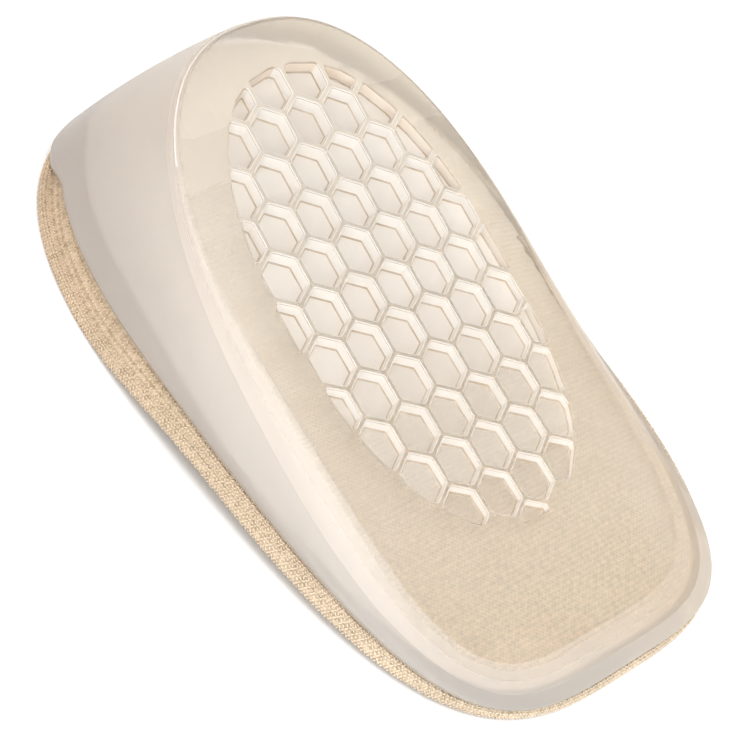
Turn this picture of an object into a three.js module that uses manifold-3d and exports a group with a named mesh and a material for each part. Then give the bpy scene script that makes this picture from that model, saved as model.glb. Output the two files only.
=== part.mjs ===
// Gel heel cup with a honeycomb underside and a knitted cover, standing upside down on its rim.
// Millimetres, +Z up, +X towards the thin front end, origin under the middle of the outline.

import * as THREE from 'three';
import { mergeVertices } from 'three/addons/utils/BufferGeometryUtils.js';
import Module from 'manifold-3d';

// Foot of the gel, where its wall meets the cover, measured from the middle of the cup
const GEL_HEEL_REACH = 44.3;
const GEL_FRONT_REACH = 45.8;
const GEL_HALF_WIDTH = 30.2;
const GEL_FRONT_HALF_WIDTH = 29.3;
const GEL_HEEL_POWER = 2.55;
const GEL_FRONT_POWER = 3.9;

// Knitted cover: how far it stands out past the gel's foot, and how its outline rounds off
const COVER_THICKNESS = 1.2;
const COVER_SIDE_MARGIN = 2.6;
const COVER_FRONT_SIDE_MARGIN = 1.9;
const COVER_FRONT_MARGIN = 0.9;
const COVER_HEEL_MARGIN = 0.7;
const COVER_HEEL_POWER = 2.6;
const COVER_FRONT_POWER = 3.4;

// Gap between the gel and the cover, and the rounded edge that ends the gel above it
const COVER_CLEARANCE = 0.3;
const GEL_EDGE = 0.8;

// Lip behind the heel, where the gel reaches down over the cover's edge
const LIP_HALF_ANGLE = 22;
const LIP_FADE_ANGLE = 12;

// Rim: flat on the ground round the heel, then lifted along the sides and down again at the front
const RIM_LIFT = 3.6;
const RIM_FLAT_LENGTH = 26.0;
const RIM_EASE_LENGTH = 25.0;
const RIM_STRIP_SHARE = 0.25;

// Underside face of the wedge: its heights above the top of the rim, and how far the walls splay
const HEEL_RISE = 21.9;
const FRONT_RISE = 1.9;
const FACE_HOLLOW = 2.0;
const FACE_EDGE_DROP = 1.1;
const WALL_SPLAY_SIDE = 4.0;
const WALL_SPLAY_HEEL = 7.2;
const WALL_SPLAY_FRONT = 2.9;
const WALL_BULGE = 0.6;
const FACE_HEEL_POWER = 2.35;
const FACE_FRONT_POWER = 4.2;
const HEEL_EDGE_RADIUS = 0.7;
const FRONT_EDGE_RADIUS = 3.2;

// Honeycomb recess in the face
const CELL_PITCH = 6.2;
const RIB_WIDTH = 0.75;
const FIRST_ROW_SHIFT = -1.15;
const RECESS_HEEL_MARGIN = 6.15;
const RECESS_FRONT_MARGIN = 15.5;
const RECESS_SIDE_MARGIN = 7.35;
const RECESS_POWER = 2.3;
const RECESS_HEEL_DEPTH = 2.0;
const RECESS_FRONT_DEPTH = 0.9;
const SMALLEST_CELL = 2.2;

// Cupped seat for the heel, on the cover's side
const SEAT_INSET = 2.0;
const CUP_WALL = 5.1;
const SEAT_RISE = 5.0;
const SEAT_FRONT_RISE = 0.5;
const SEAT_BACK_LENGTH = 20.0;
const SEAT_FADE_LENGTH = 60.0;
const SEAT_FADE_POWER = 1.3;
const SEAT_WALL_POWER = 4.0;

// Fineness of the faceted surfaces
const ROUND_STEPS = 80;
const OVAL_STEPS = 48;
const FLOOR_STEPS = 10;
const FACE_RINGS = [0.3, 0.62, 0.84];
const EDGE_RINGS = [0, 0.33, 0.67, 1];
const WALL_RINGS = [0.25, 0.5, 0.75];
const SEAT_RINGS = [0.95, 0.88, 0.78, 0.64, 0.45, 0.22];
const TAPER_START = 6.0;
const NORMAL_STEP = 0.01;

// Outlines in plan: reaches to the heel and front ends, half widths, and superellipse powers
const gelOutline = {
  heel: GEL_HEEL_REACH,
  front: GEL_FRONT_REACH,
  half: GEL_HALF_WIDTH,
  frontHalf: GEL_FRONT_HALF_WIDTH,
  heelPower: GEL_HEEL_POWER,
  frontPower: GEL_FRONT_POWER,
};
const coverOutline = {
  heel: GEL_HEEL_REACH + COVER_HEEL_MARGIN,
  front: GEL_FRONT_REACH + COVER_FRONT_MARGIN,
  half: GEL_HALF_WIDTH + COVER_SIDE_MARGIN,
  frontHalf: GEL_FRONT_HALF_WIDTH + COVER_FRONT_SIDE_MARGIN,
  heelPower: COVER_HEEL_POWER,
  frontPower: COVER_FRONT_POWER,
};
const seatOutline = {
  heel: GEL_HEEL_REACH - SEAT_INSET,
  front: GEL_FRONT_REACH - SEAT_INSET,
  half: GEL_HALF_WIDTH - SEAT_INSET,
  frontHalf: GEL_FRONT_HALF_WIDTH - SEAT_INSET,
  heelPower: GEL_HEEL_POWER,
  frontPower: GEL_FRONT_POWER,
};
const faceOutline = {
  heel: GEL_HEEL_REACH - WALL_SPLAY_HEEL,
  front: GEL_FRONT_REACH - WALL_SPLAY_FRONT,
  half: GEL_HALF_WIDTH - WALL_SPLAY_SIDE,
  frontHalf: GEL_HALF_WIDTH - WALL_SPLAY_SIDE,
  heelPower: FACE_HEEL_POWER,
  frontPower: FACE_FRONT_POWER,
};
const recessHeel = RECESS_HEEL_MARGIN - faceOutline.heel;
const recessFront = faceOutline.front - RECESS_FRONT_MARGIN;
const recessMiddle = (recessHeel + recessFront) / 2;
const recessOutline = {
  heel: (recessFront - recessHeel) / 2,
  front: (recessFront - recessHeel) / 2,
  half: faceOutline.half - RECESS_SIDE_MARGIN,
  frontHalf: faceOutline.half - RECESS_SIDE_MARGIN,
  heelPower: RECESS_POWER,
  frontPower: RECESS_POWER,
};

// A point of an outline: two superellipse halves that meet at its widest place
function outlinePoint(outline, angle) {
  const towardsFront = Math.cos(angle) > 0;
  const reach = towardsFront ? outline.front : outline.heel;
  const power = towardsFront ? outline.frontPower : outline.heelPower;
  const along = Math.abs(Math.cos(angle)) / reach;
  const across = Math.abs(Math.sin(angle)) / outline.half;
  const radius = (along ** power + across ** power) ** (-1 / power);
  const x = radius * Math.cos(angle);
  const eased = Math.hypot(Math.max(0, x), TAPER_START) - TAPER_START;
  const narrowing = (1 - outline.frontHalf / outline.half) * eased / reach;
  return new THREE.Vector2(x, radius * Math.sin(angle) * (1 - narrowing));
}

// Share of the way along the cup, from its heel end to its front end
function lengthShare(x) {
  return (x + coverOutline.heel) / (coverOutline.heel + coverOutline.front);
}

// How far the rim has come away from its flat stretch round the heel, from 0 to 1
function rimEase(x) {
  const start = RIM_FLAT_LENGTH - coverOutline.heel;
  return THREE.MathUtils.smoothstep(x, start, start + RIM_EASE_LENGTH);
}

function rimHeight(x) {
  return RIM_LIFT * THREE.MathUtils.clamp(1 - lengthShare(x), 0, 1) * rimEase(x);
}

// Height of the face along the length: a chord from heel to front with a shallow hollow
function faceHeight(x) {
  const share = (x + faceOutline.heel) / (faceOutline.front + faceOutline.heel);
  const chord = THREE.MathUtils.lerp(HEEL_RISE, FRONT_RISE, share);
  return COVER_THICKNESS + chord - 4 * FACE_HOLLOW * share * (1 - share);
}

// Depth of the honeycomb along the length
function recessDepth(x) {
  const share = (x - recessHeel) / (recessFront - recessHeel);
  return THREE.MathUtils.lerp(RECESS_HEEL_DEPTH, RECESS_FRONT_DEPTH, share);
}

// Height of the seat's edge, and rise of the seat inside it at a share of the way out
function seatEdgeHeight(x) {
  return COVER_THICKNESS + rimHeight(x) + CUP_WALL * (1 - rimEase(x));
}

function seatRise(x, share) {
  const fade = (x + coverOutline.heel - SEAT_BACK_LENGTH) / SEAT_FADE_LENGTH;
  const left = 1 - THREE.MathUtils.clamp(fade, 0, 1);
  const along = THREE.MathUtils.lerp(SEAT_FRONT_RISE, SEAT_RISE, left ** SEAT_FADE_POWER);
  return along * (1 - share ** SEAT_WALL_POWER);
}

// Point on the cover's upper side: seat up to 1, then the sloping margin out to the rim at 2
function coverPoint(angle, share) {
  const seat = outlinePoint(seatOutline, angle);
  if (share <= 1) {
    const x = seat.x * share;
    return new THREE.Vector3(x, seat.y * share, seatEdgeHeight(x) + seatRise(x, share));
  }
  const out = share - 1;
  const edge = seat.lerp(outlinePoint(coverOutline, angle), out);
  const slope = Math.max(0, 1 - out / (1 - RIM_STRIP_SHARE));
  const foot = COVER_THICKNESS + rimHeight(edge.x);
  return new THREE.Vector3(edge.x, edge.y, THREE.MathUtils.lerp(foot, seatEdgeHeight(edge.x), slope));
}

// Outward normal of the cover's upper side, upright on the flat strip at the rim
function coverNormal(angle, share) {
  const inner = Math.max(share - NORMAL_STEP, NORMAL_STEP);
  const outer = Math.min(share + NORMAL_STEP, 2);
  const around = coverPoint(angle + NORMAL_STEP, share).sub(coverPoint(angle - NORMAL_STEP, share));
  const outwards = coverPoint(angle, outer).sub(coverPoint(angle, inner));
  return outwards.cross(around).normalize();
}

// Cover point moved off the surface, so that a layer keeps its thickness on the slopes
function coverOffset(angle, share, distance) {
  return coverPoint(angle, share).addScaledVector(coverNormal(angle, share), distance);
}

function coverCentre(distance) {
  return new THREE.Vector3(0, 0, seatEdgeHeight(0) + seatRise(0, 0) + distance);
}

// A ring of points, one for each angle, from a function of the angle
function ring(pointAt) {
  const points = [];
  for (let step = 0; step < ROUND_STEPS; step += 1) {
    points.push(pointAt((2 * Math.PI * step) / ROUND_STEPS));
  }
  return points;
}

// A closed body from rings that run from an upper centre point out and back to a lower one
function bodyFromRings(upperCentre, rings, lowerCentre) {
  const positions = [upperCentre, ...rings.flat(), lowerCentre].flatMap((point) => point.toArray());
  const last = 1 + rings.length * ROUND_STEPS;
  const index = [];
  for (let step = 0; step < ROUND_STEPS; step += 1) {
    const next = (step + 1) % ROUND_STEPS;
    index.push(0, 1 + step, 1 + next);
    for (let row = 0; row + 1 < rings.length; row += 1) {
      const near = 1 + row * ROUND_STEPS;
      const far = near + ROUND_STEPS;
      index.push(near + step, far + step, far + next);
      index.push(near + step, far + next, near + next);
    }
    const outer = last - ROUND_STEPS;
    index.push(outer + step, last, outer + next);
  }
  const geometry = new THREE.BufferGeometry();
  geometry.setAttribute('position', new THREE.Float32BufferAttribute(positions, 3));
  geometry.setIndex(index);
  return geometry;
}

// Face point at a share of the way from the middle of the face to its edge
function facePoint(angle, share) {
  const edge = outlinePoint(faceOutline, angle);
  const x = edge.x * share;
  return new THREE.Vector3(x, edge.y * share, faceHeight(x) - FACE_EDGE_DROP * share ** 4);
}

// How much of the lip behind the heel there is at an angle, from 0 to 1
function lipShare(angle) {
  const fromHeel = THREE.MathUtils.radToDeg(Math.abs(Math.PI - angle));
  return 1 - THREE.MathUtils.smoothstep(fromHeel, LIP_HALF_ANGLE, LIP_HALF_ANGLE + LIP_FADE_ANGLE);
}

// Inner corner of the gel's foot: on the cover's margin, or at its very edge behind the heel
function footInner(angle) {
  const seat = outlinePoint(seatOutline, angle).length();
  const gel = outlinePoint(gelOutline, angle).length();
  const cover = outlinePoint(coverOutline, angle).length();
  const onMargin = (gel - seat) / (cover - seat);
  const place = THREE.MathUtils.lerp(onMargin, 1, lipShare(angle));
  return coverOffset(angle, 1 + place, COVER_CLEARANCE);
}

function footOuter(angle) {
  const outward = new THREE.Vector3(Math.cos(angle), Math.sin(angle), 1).normalize();
  return footInner(angle).addScaledVector(outward, GEL_EDGE);
}

// Rounded edge between the face and the wall, wider towards the front
function edgePoint(angle, share) {
  const corner = facePoint(angle, 1);
  const wall = footOuter(angle).sub(corner);
  const towardsFront = 0.5 + 0.5 * Math.cos(angle);
  const wanted = THREE.MathUtils.lerp(HEEL_EDGE_RADIUS, FRONT_EDGE_RADIUS, towardsFront);
  const radius = Math.min(wanted, wall.length() / 2);
  const reach = outlinePoint(faceOutline, angle).length();
  const onFace = facePoint(angle, 1 - radius / reach);
  const onWall = corner.clone().addScaledVector(wall.normalize(), radius);
  return new THREE.QuadraticBezierCurve3(onFace, corner, onWall).getPoint(share);
}

// Wall point between the rounded edge and the gel's foot, bulging a little outwards
function wallPoint(angle, share) {
  const point = edgePoint(angle, 1).lerp(footOuter(angle), share);
  const outward = new THREE.Vector3(Math.cos(angle), Math.sin(angle), 0);
  return point.addScaledVector(outward, WALL_BULGE * 4 * share * (1 - share));
}

// Gel block before the honeycomb is cut: face, rounded edge, splayed wall, foot and heel seat
function gelBlock() {
  const rings = [
    ...FACE_RINGS.map((share) => ring((angle) => facePoint(angle, share))),
    ...EDGE_RINGS.map((share) => ring((angle) => edgePoint(angle, share))),
    ...WALL_RINGS.map((share) => ring((angle) => wallPoint(angle, share))),
    ring(footOuter),
    ring(footInner),
    ring((angle) => coverOffset(angle, 1, COVER_CLEARANCE)),
    ...SEAT_RINGS.map((share) => ring((angle) => coverOffset(angle, share, COVER_CLEARANCE))),
  ];
  return bodyFromRings(facePoint(0, 0), rings, coverCentre(COVER_CLEARANCE));
}

// Knitted cover: one thin layer from the seat over its edge and down the margin to the rim
function coverLayer() {
  const shares = [...SEAT_RINGS].reverse().concat([1, 2 - RIM_STRIP_SHARE, 2]);
  const upper = shares.map((share) => ring((angle) => coverPoint(angle, share)));
  const lower = shares.map((share) => ring((angle) => {
    if (share < 2 - RIM_STRIP_SHARE) return coverOffset(angle, share, -COVER_THICKNESS);
    return coverPoint(angle, share).setZ(rimHeight(coverPoint(angle, share).x));
  }));
  return bodyFromRings(coverCentre(0), [...upper, ...lower.reverse()], coverCentre(-COVER_THICKNESS));
}

// Part of a convex polygon that lies inside another convex polygon, both anticlockwise
function clipConvex(polygon, window) {
  let kept = polygon;
  window.forEach((start, i) => {
    const end = window[(i + 1) % window.length];
    const side = (p) => (end.x - start.x) * (p.y - start.y) - (end.y - start.y) * (p.x - start.x);
    const next = [];
    kept.forEach((point, j) => {
      const after = kept[(j + 1) % kept.length];
      const here = side(point);
      const there = side(after);
      if (here >= 0) next.push(point);
      if (here * there < 0) next.push(point.clone().lerp(after, here / (here - there)));
    });
    kept = next;
  });
  return kept;
}

// Outlines of the honeycomb's cells, regular in the sloping face, with points to heel and front
function cellOutlines() {
  const slope = Math.atan((HEEL_RISE - FRONT_RISE) / (faceOutline.front + faceOutline.heel));
  const squeeze = Math.cos(slope);
  const corner = (CELL_PITCH - RIB_WIDTH) / Math.sqrt(3);
  const rowStep = (CELL_PITCH * Math.sqrt(3)) / 2;
  const rows = Math.ceil(recessOutline.front / (rowStep * squeeze)) + 1;
  const columns = Math.ceil(recessOutline.half / CELL_PITCH) + 1;
  const oval = [];
  for (let step = 0; step < OVAL_STEPS; step += 1) {
    const point = outlinePoint(recessOutline, (2 * Math.PI * (step + 0.5)) / OVAL_STEPS);
    oval.push(new THREE.Vector2(recessMiddle + point.x, point.y));
  }
  const cells = [];
  for (let row = -rows; row <= rows; row += 1) {
    for (let column = -columns; column <= columns; column += 1) {
      const centreX = recessMiddle + FIRST_ROW_SHIFT + row * rowStep * squeeze;
      const centreY = (column + (row % 2 === 0 ? 0 : 0.5)) * CELL_PITCH;
      const hexagon = [];
      for (let side = 0; side < 6; side += 1) {
        const angle = (side * Math.PI) / 3;
        const x = centreX + corner * Math.cos(angle) * squeeze;
        hexagon.push(new THREE.Vector2(x, centreY + corner * Math.sin(angle)));
      }
      const cell = clipConvex(hexagon, oval);
      if (cell.length > 2 && THREE.ShapeUtils.area(cell) > SMALLEST_CELL ** 2) cells.push(cell);
    }
  }
  return cells;
}

// Upright prism over an outline, from the ground to above the face
function prism(outline) {
  return new THREE.ExtrudeGeometry(new THREE.Shape(outline), {
    depth: COVER_THICKNESS + HEEL_RISE + RECESS_HEEL_DEPTH,
    bevelEnabled: false,
  });
}

// Body over the recess whose lower side is the honeycomb's floor, which follows the face
function recessBody() {
  const top = COVER_THICKNESS + HEEL_RISE + RECESS_HEEL_DEPTH;
  const outline = [];
  for (let step = 0; step <= FLOOR_STEPS; step += 1) {
    const x = THREE.MathUtils.lerp(recessHeel - CELL_PITCH, recessFront + CELL_PITCH, step / FLOOR_STEPS);
    outline.push(new THREE.Vector2(x, faceHeight(x) - recessDepth(x)));
  }
  outline.push(new THREE.Vector2(recessFront + CELL_PITCH, top));
  outline.push(new THREE.Vector2(recessHeel - CELL_PITCH, top));
  const width = 2 * (recessOutline.half + CELL_PITCH);
  const geometry = new THREE.ExtrudeGeometry(new THREE.Shape(outline), { depth: width, bevelEnabled: false });
  geometry.rotateX(Math.PI / 2);
  geometry.translate(0, width / 2, 0);
  return geometry;
}

const wasm = await Module();
wasm.setup();

// Solid for cutting from a geometry, with its shared corners merged
function toSolid(geometry) {
  const bare = geometry.clone();
  bare.deleteAttribute('normal');
  bare.deleteAttribute('uv');
  const merged = mergeVertices(bare, 1e-5);
  return new wasm.Manifold(new wasm.Mesh({
    numProp: 3,
    vertProperties: merged.attributes.position.array,
    triVerts: Uint32Array.from(merged.index.array),
  }));
}

function toGeometry(solid) {
  const mesh = solid.getMesh();
  const geometry = new THREE.BufferGeometry();
  geometry.setAttribute('position', new THREE.Float32BufferAttribute(mesh.vertProperties, 3));
  geometry.setIndex(Array.from(mesh.triVerts));
  return geometry;
}

// Gel body with one pocket for each cell
function gelBody() {
  const [firstCell, ...otherCells] = cellOutlines().map((outline) => toSolid(prism(outline)));
  const cells = otherCells.reduce((joined, cell) => joined.add(cell), firstCell);
  return toGeometry(toSolid(gelBlock()).subtract(cells.intersect(toSolid(recessBody()))));
}

function namedMesh(name, geometry, finish) {
  geometry.computeVertexNormals();
  const mesh = new THREE.Mesh(geometry, new THREE.MeshStandardMaterial(finish));
  mesh.name = name;
  return mesh;
}

// Both bodies moved together, so that the origin is under the middle of the outline
function centred(geometries) {
  const box = new THREE.Box3();
  geometries.forEach((geometry) => {
    geometry.computeBoundingBox();
    box.union(geometry.boundingBox);
  });
  const middle = box.getCenter(new THREE.Vector3());
  return geometries.map((geometry) => geometry.translate(-middle.x, -middle.y, -box.min.z));
}

const [gel, cover] = centred([gelBody(), coverLayer()]);
const heelCup = new THREE.Group();
heelCup.add(namedMesh('gel_body', gel, { color: 0xe6dacb, roughness: 0.18, metalness: 0 }));
heelCup.add(namedMesh('fabric_cover', cover, { color: 0xd2b48c, roughness: 0.9, metalness: 0 }));

export default heelCup;
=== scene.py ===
"""Looks of a gel heel cup that stands upside down on its rim.

The clear gel body and its knitted cover are rebuilt finely from the same named
sizes as the frame's solids, dressed with procedural materials, and put in a pale
studio. Sizes are in millimetres until a mesh is made, and +X is the thin front end.
"""

import logging
import math
from dataclasses import dataclass
from enum import Enum
from typing import Callable, Sequence, TypeAlias

import bpy
from mathutils import Matrix, Vector
from mathutils.geometry import delaunay_2d_cdt

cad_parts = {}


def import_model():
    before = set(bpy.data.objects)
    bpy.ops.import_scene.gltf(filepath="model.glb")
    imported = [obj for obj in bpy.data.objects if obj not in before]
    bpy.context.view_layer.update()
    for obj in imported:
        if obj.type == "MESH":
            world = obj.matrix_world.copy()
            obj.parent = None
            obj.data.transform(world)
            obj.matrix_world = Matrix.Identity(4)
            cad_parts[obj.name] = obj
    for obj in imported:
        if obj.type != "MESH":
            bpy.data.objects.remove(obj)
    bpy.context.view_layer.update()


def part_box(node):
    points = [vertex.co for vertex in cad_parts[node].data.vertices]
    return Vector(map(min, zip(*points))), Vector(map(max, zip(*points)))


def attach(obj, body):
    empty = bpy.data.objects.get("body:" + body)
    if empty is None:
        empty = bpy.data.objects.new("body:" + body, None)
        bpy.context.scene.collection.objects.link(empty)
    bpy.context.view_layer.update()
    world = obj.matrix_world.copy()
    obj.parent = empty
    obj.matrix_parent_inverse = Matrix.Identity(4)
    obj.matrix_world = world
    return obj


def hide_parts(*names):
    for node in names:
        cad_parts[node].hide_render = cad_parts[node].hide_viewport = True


LOG = logging.getLogger("heel_cup")
MM = 0.001
TURN = 2 * math.pi
NO_LENGTH = 1e-6
SHORTEST_SIDE = 1e-3
COLOUR_HALF_LENGTH = 0.042
# Half width over which the gel's painted light and shade change from the key light's side to the
# far side.
COLOUR_HALF_WIDTH = 0.02

Colour: TypeAlias = tuple[float, float, float]
PointAt: TypeAlias = Callable[[float], Vector]


def lerp(start: float, end: float, share: float) -> float:
    """Value at a share of the way from start to end."""
    return start + (end - start) * share


def clamp(value: float, low: float = 0.0, high: float = 1.0) -> float:
    """Value held between low and high."""
    return max(low, min(high, value))


def smoothstep(value: float, low: float, high: float) -> float:
    """Smooth rise from 0 at low to 1 at high."""
    share = clamp((value - low) / (high - low))
    return share * share * (3 - 2 * share)


def darker(colour: Colour, share: float) -> Colour:
    """Colour with each of its parts brought down to a share."""
    return tuple(share * part for part in colour)


@dataclass(frozen=True)
class Outline:
    """A rounded outline in plan: two superellipse halves that meet at the widest place.

    Args:
        heel: Reach from the middle to the heel end.
        front: Reach from the middle to the front end.
        half: Half width at the widest place.
        front_half: Half width that the sides taper to at the front.
        heel_power: Superellipse power of the heel half.
        front_power: Superellipse power of the front half.
        taper_start: Length over which the taper sets in.
    """

    heel: float
    front: float
    half: float
    front_half: float
    heel_power: float
    front_power: float
    taper_start: float = 6.0

    def point(self, angle: float) -> Vector:
        """Point of the outline in the direction of an angle, from the middle.

        Args:
            angle: Direction from the middle, in radians.

        Returns:
            The point, in plan.
        """
        cosine, sine = math.cos(angle), math.sin(angle)
        reach = self.front if cosine > 0 else self.heel
        power = self.front_power if cosine > 0 else self.heel_power
        along = abs(cosine) / reach
        across = abs(sine) / self.half
        radius = (along**power + across**power) ** (-1 / power)
        x = radius * cosine
        eased = math.hypot(max(0.0, x), self.taper_start) - self.taper_start
        narrowing = (1 - self.front_half / self.half) * eased / reach
        return Vector((x, radius * sine * (1 - narrowing)))


@dataclass(frozen=True)
class CupShape:
    """Sizes of the cup and the surfaces that they give, the same as the frame's.

    Args:
        gel_heel: Reach of the gel's foot from the middle to the heel end.
        gel_front: Reach of the gel's foot from the middle to the front end.
        gel_half: Half width of the gel's foot.
        gel_front_half: Half width that it tapers to at the front.
        gel_heel_power: Roundness of the foot's heel half.
        gel_front_power: Roundness of the foot's front half.
        cover_thickness: Thickness of the knitted cover.
        cover_side: How far the cover stands out past the gel at the sides.
        cover_front_side: The same where the sides end at the front.
        cover_front: The same at the front end.
        cover_heel: The same at the heel end.
        cut_edge_bulge: How far the cover's cut edge stands out in its middle.
        cover_heel_power: Roundness of the rim's heel half.
        cover_front_power: Roundness of the rim's front half.
        lip_half_angle: Half the angle that the lip behind the heel takes up, in degrees.
        lip_fade_angle: Angle over which the lip ends, in degrees.
        gel_edge: Radius of the gel's rounded foot.
        rim_lift: How far the sides of the rim lift off the ground.
        rim_flat_length: Length of the rim that stays on the ground round the heel.
        rim_ease_length: Length over which it then lifts.
        rim_strip: Share of the margin that is a level strip along the rim.
        heel_rise: Height of the face above the cover at the heel end.
        front_rise: Height of the face above the cover at the front end.
        face_hollow: How far the face sags between its ends.
        face_edge_drop: How far the face drops towards its edge.
        face_edge_power: How close to the edge that drop stays.
        splay_side: How far the walls lean out at the sides.
        splay_heel: How far the wall leans out at the heel.
        splay_front: How far the wall leans out at the front.
        wall_bulge: How far the wall bulges between its top and its foot.
        face_heel_power: Roundness of the face's heel half.
        face_front_power: Roundness of the face's front half.
        heel_edge_radius: Length of the rounded edge at the heel.
        front_edge_radius: Length of the rounded edge at the front.
        recess_heel_margin: Face left between the recess and the heel edge.
        recess_front_margin: Face left between the recess and the front edge.
        recess_side_margin: Face left between the recess and each side edge.
        recess_power: Roundness of the recess.
        recess_heel_depth: Depth of the recess at its heel end.
        recess_front_depth: Depth of the recess at its front end.
        seat_inset: How far inside the gel's foot the seat ends.
        cup_wall: Height of the cup's wall round the heel.
        seat_rise_heel: Rise of the seat above its edge at the heel.
        seat_rise_front: Rise of the seat above its edge at the front.
        seat_back: Length from the heel over which the seat is deepest.
        seat_fade: Length over which it then grows shallow.
        seat_fade_power: How evenly it does.
        seat_wall_power: How steep the seat is near its edge.
    """

    gel_heel: float = 44.3
    gel_front: float = 45.8
    gel_half: float = 30.2
    gel_front_half: float = 29.3
    gel_heel_power: float = 2.55
    gel_front_power: float = 3.9
    cover_thickness: float = 1.2
    cover_side: float = 2.6
    cover_front_side: float = 1.9
    cover_front: float = 0.9
    cover_heel: float = 0.7
    cut_edge_bulge: float = 0.2
    cover_heel_power: float = 2.6
    cover_front_power: float = 3.4
    lip_half_angle: float = 22.0
    lip_fade_angle: float = 12.0
    gel_edge: float = 0.8
    rim_lift: float = 3.6
    rim_flat_length: float = 26.0
    rim_ease_length: float = 25.0
    rim_strip: float = 0.25
    heel_rise: float = 21.9
    front_rise: float = 1.9
    face_hollow: float = 2.0
    face_edge_drop: float = 1.1
    face_edge_power: int = 4
    splay_side: float = 4.0
    splay_heel: float = 7.2
    splay_front: float = 2.9
    wall_bulge: float = 0.6
    face_heel_power: float = 2.35
    face_front_power: float = 4.2
    heel_edge_radius: float = 0.7
    front_edge_radius: float = 3.2
    recess_heel_margin: float = 6.15
    recess_front_margin: float = 15.5
    recess_side_margin: float = 7.35
    recess_power: float = 2.3
    recess_heel_depth: float = 2.0
    recess_front_depth: float = 0.9
    seat_inset: float = 2.0
    cup_wall: float = 5.1
    seat_rise_heel: float = 5.0
    seat_rise_front: float = 0.5
    seat_back: float = 20.0
    seat_fade: float = 60.0
    seat_fade_power: float = 1.3
    seat_wall_power: float = 4.0

    @property
    def gel(self) -> Outline:
        """Outline of the gel's foot."""
        return Outline(self.gel_heel, self.gel_front, self.gel_half, self.gel_front_half,
                       self.gel_heel_power, self.gel_front_power)

    @property
    def cover(self) -> Outline:
        """Outline of the cover's rim."""
        return Outline(self.gel_heel + self.cover_heel, self.gel_front + self.cover_front,
                       self.gel_half + self.cover_side,
                       self.gel_front_half + self.cover_front_side,
                       self.cover_heel_power, self.cover_front_power)

    @property
    def seat(self) -> Outline:
        """Outline of the seat's edge, inside the gel's foot."""
        inset = self.seat_inset
        return Outline(self.gel_heel - inset, self.gel_front - inset, self.gel_half - inset,
                       self.gel_front_half - inset, self.gel_heel_power, self.gel_front_power)

    @property
    def face(self) -> Outline:
        """Outline of the face, where it would meet the wall in a sharp corner."""
        half = self.gel_half - self.splay_side
        return Outline(self.gel_heel - self.splay_heel, self.gel_front - self.splay_front,
                       half, half, self.face_heel_power, self.face_front_power)

    @property
    def recess_span(self) -> tuple[float, float]:
        """Lengthwise places of the recess's heel and front ends."""
        return (self.recess_heel_margin - self.face.heel,
                self.face.front - self.recess_front_margin)

    def length_share(self, x: float) -> float:
        """Share of the way from the heel end to the front end."""
        return (x + self.cover.heel) / (self.cover.heel + self.cover.front)

    def rim_ease(self, x: float) -> float:
        """How far the rim has left its flat stretch round the heel, from 0 to 1."""
        start = self.rim_flat_length - self.cover.heel
        return smoothstep(x, start, start + self.rim_ease_length)

    def rim_height(self, x: float) -> float:
        """Height of the rim's lower side above the ground."""
        return self.rim_lift * clamp(1 - self.length_share(x)) * self.rim_ease(x)

    def face_height(self, x: float) -> float:
        """Height of the face along the cup, before it drops at its edge.

        Args:
            x: Lengthwise place.

        Returns:
            The height above the ground.
        """
        share = (x + self.face.heel) / (self.face.front + self.face.heel)
        chord = lerp(self.heel_rise, self.front_rise, share)
        return self.cover_thickness + chord - 4 * self.face_hollow * share * (1 - share)

    def floor_height(self, x: float) -> float:
        """Height of the honeycomb's floor along the cup.

        Args:
            x: Lengthwise place.

        Returns:
            The height above the ground.
        """
        heel, front = self.recess_span
        share = (x - heel) / (front - heel)
        return self.face_height(x) - lerp(self.recess_heel_depth, self.recess_front_depth, share)

    def seat_edge_height(self, x: float) -> float:
        """Height of the seat's edge."""
        wall = self.cup_wall * (1 - self.rim_ease(x))
        return self.cover_thickness + self.rim_height(x) + wall

    def seat_rise(self, x: float, share: float) -> float:
        """Rise of the seat above its edge, at a share of the way out.

        Args:
            x: Lengthwise place.
            share: Share of the way from the middle to the edge.

        Returns:
            The rise.
        """
        fade = (x + self.cover.heel - self.seat_back) / self.seat_fade
        left = 1 - clamp(fade)
        along = lerp(self.seat_rise_front, self.seat_rise_heel, left**self.seat_fade_power)
        return along * (1 - share**self.seat_wall_power)

    def cover_point(self, angle: float, share: float) -> Vector:
        """Point on the cover's upper side: the seat up to share 1, the margin out to 2.

        Args:
            angle: Direction from the middle, in radians.
            share: Share of the way out.

        Returns:
            The point.
        """
        seat = self.seat.point(angle)
        if share <= 1:
            x = seat.x * share
            height = self.seat_edge_height(x) + self.seat_rise(x, share)
            return Vector((x, seat.y * share, height))
        out = share - 1
        edge = seat.lerp(self.cover.point(angle), out)
        slope = max(0.0, 1 - out / (1 - self.rim_strip))
        foot = self.cover_thickness + self.rim_height(edge.x)
        return Vector((edge.x, edge.y, lerp(foot, self.seat_edge_height(edge.x), slope)))

    def cover_normal(self, angle: float, share: float) -> Vector:
        """Outward normal of the cover's upper side.

        Args:
            angle: Direction from the middle, in radians.
            share: Share of the way out.

        Returns:
            The normal, of unit length.
        """
        step = 0.01
        inner = max(share - step, step)
        outer = min(share + step, 2.0)
        around = self.cover_point(angle + step, share) - self.cover_point(angle - step, share)
        outwards = self.cover_point(angle, outer) - self.cover_point(angle, inner)
        return outwards.cross(around).normalized()

    def cover_offset(self, angle: float, share: float, distance: float) -> Vector:
        """Cover point moved off the surface by a distance."""
        return self.cover_point(angle, share) + self.cover_normal(angle, share) * distance

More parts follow.
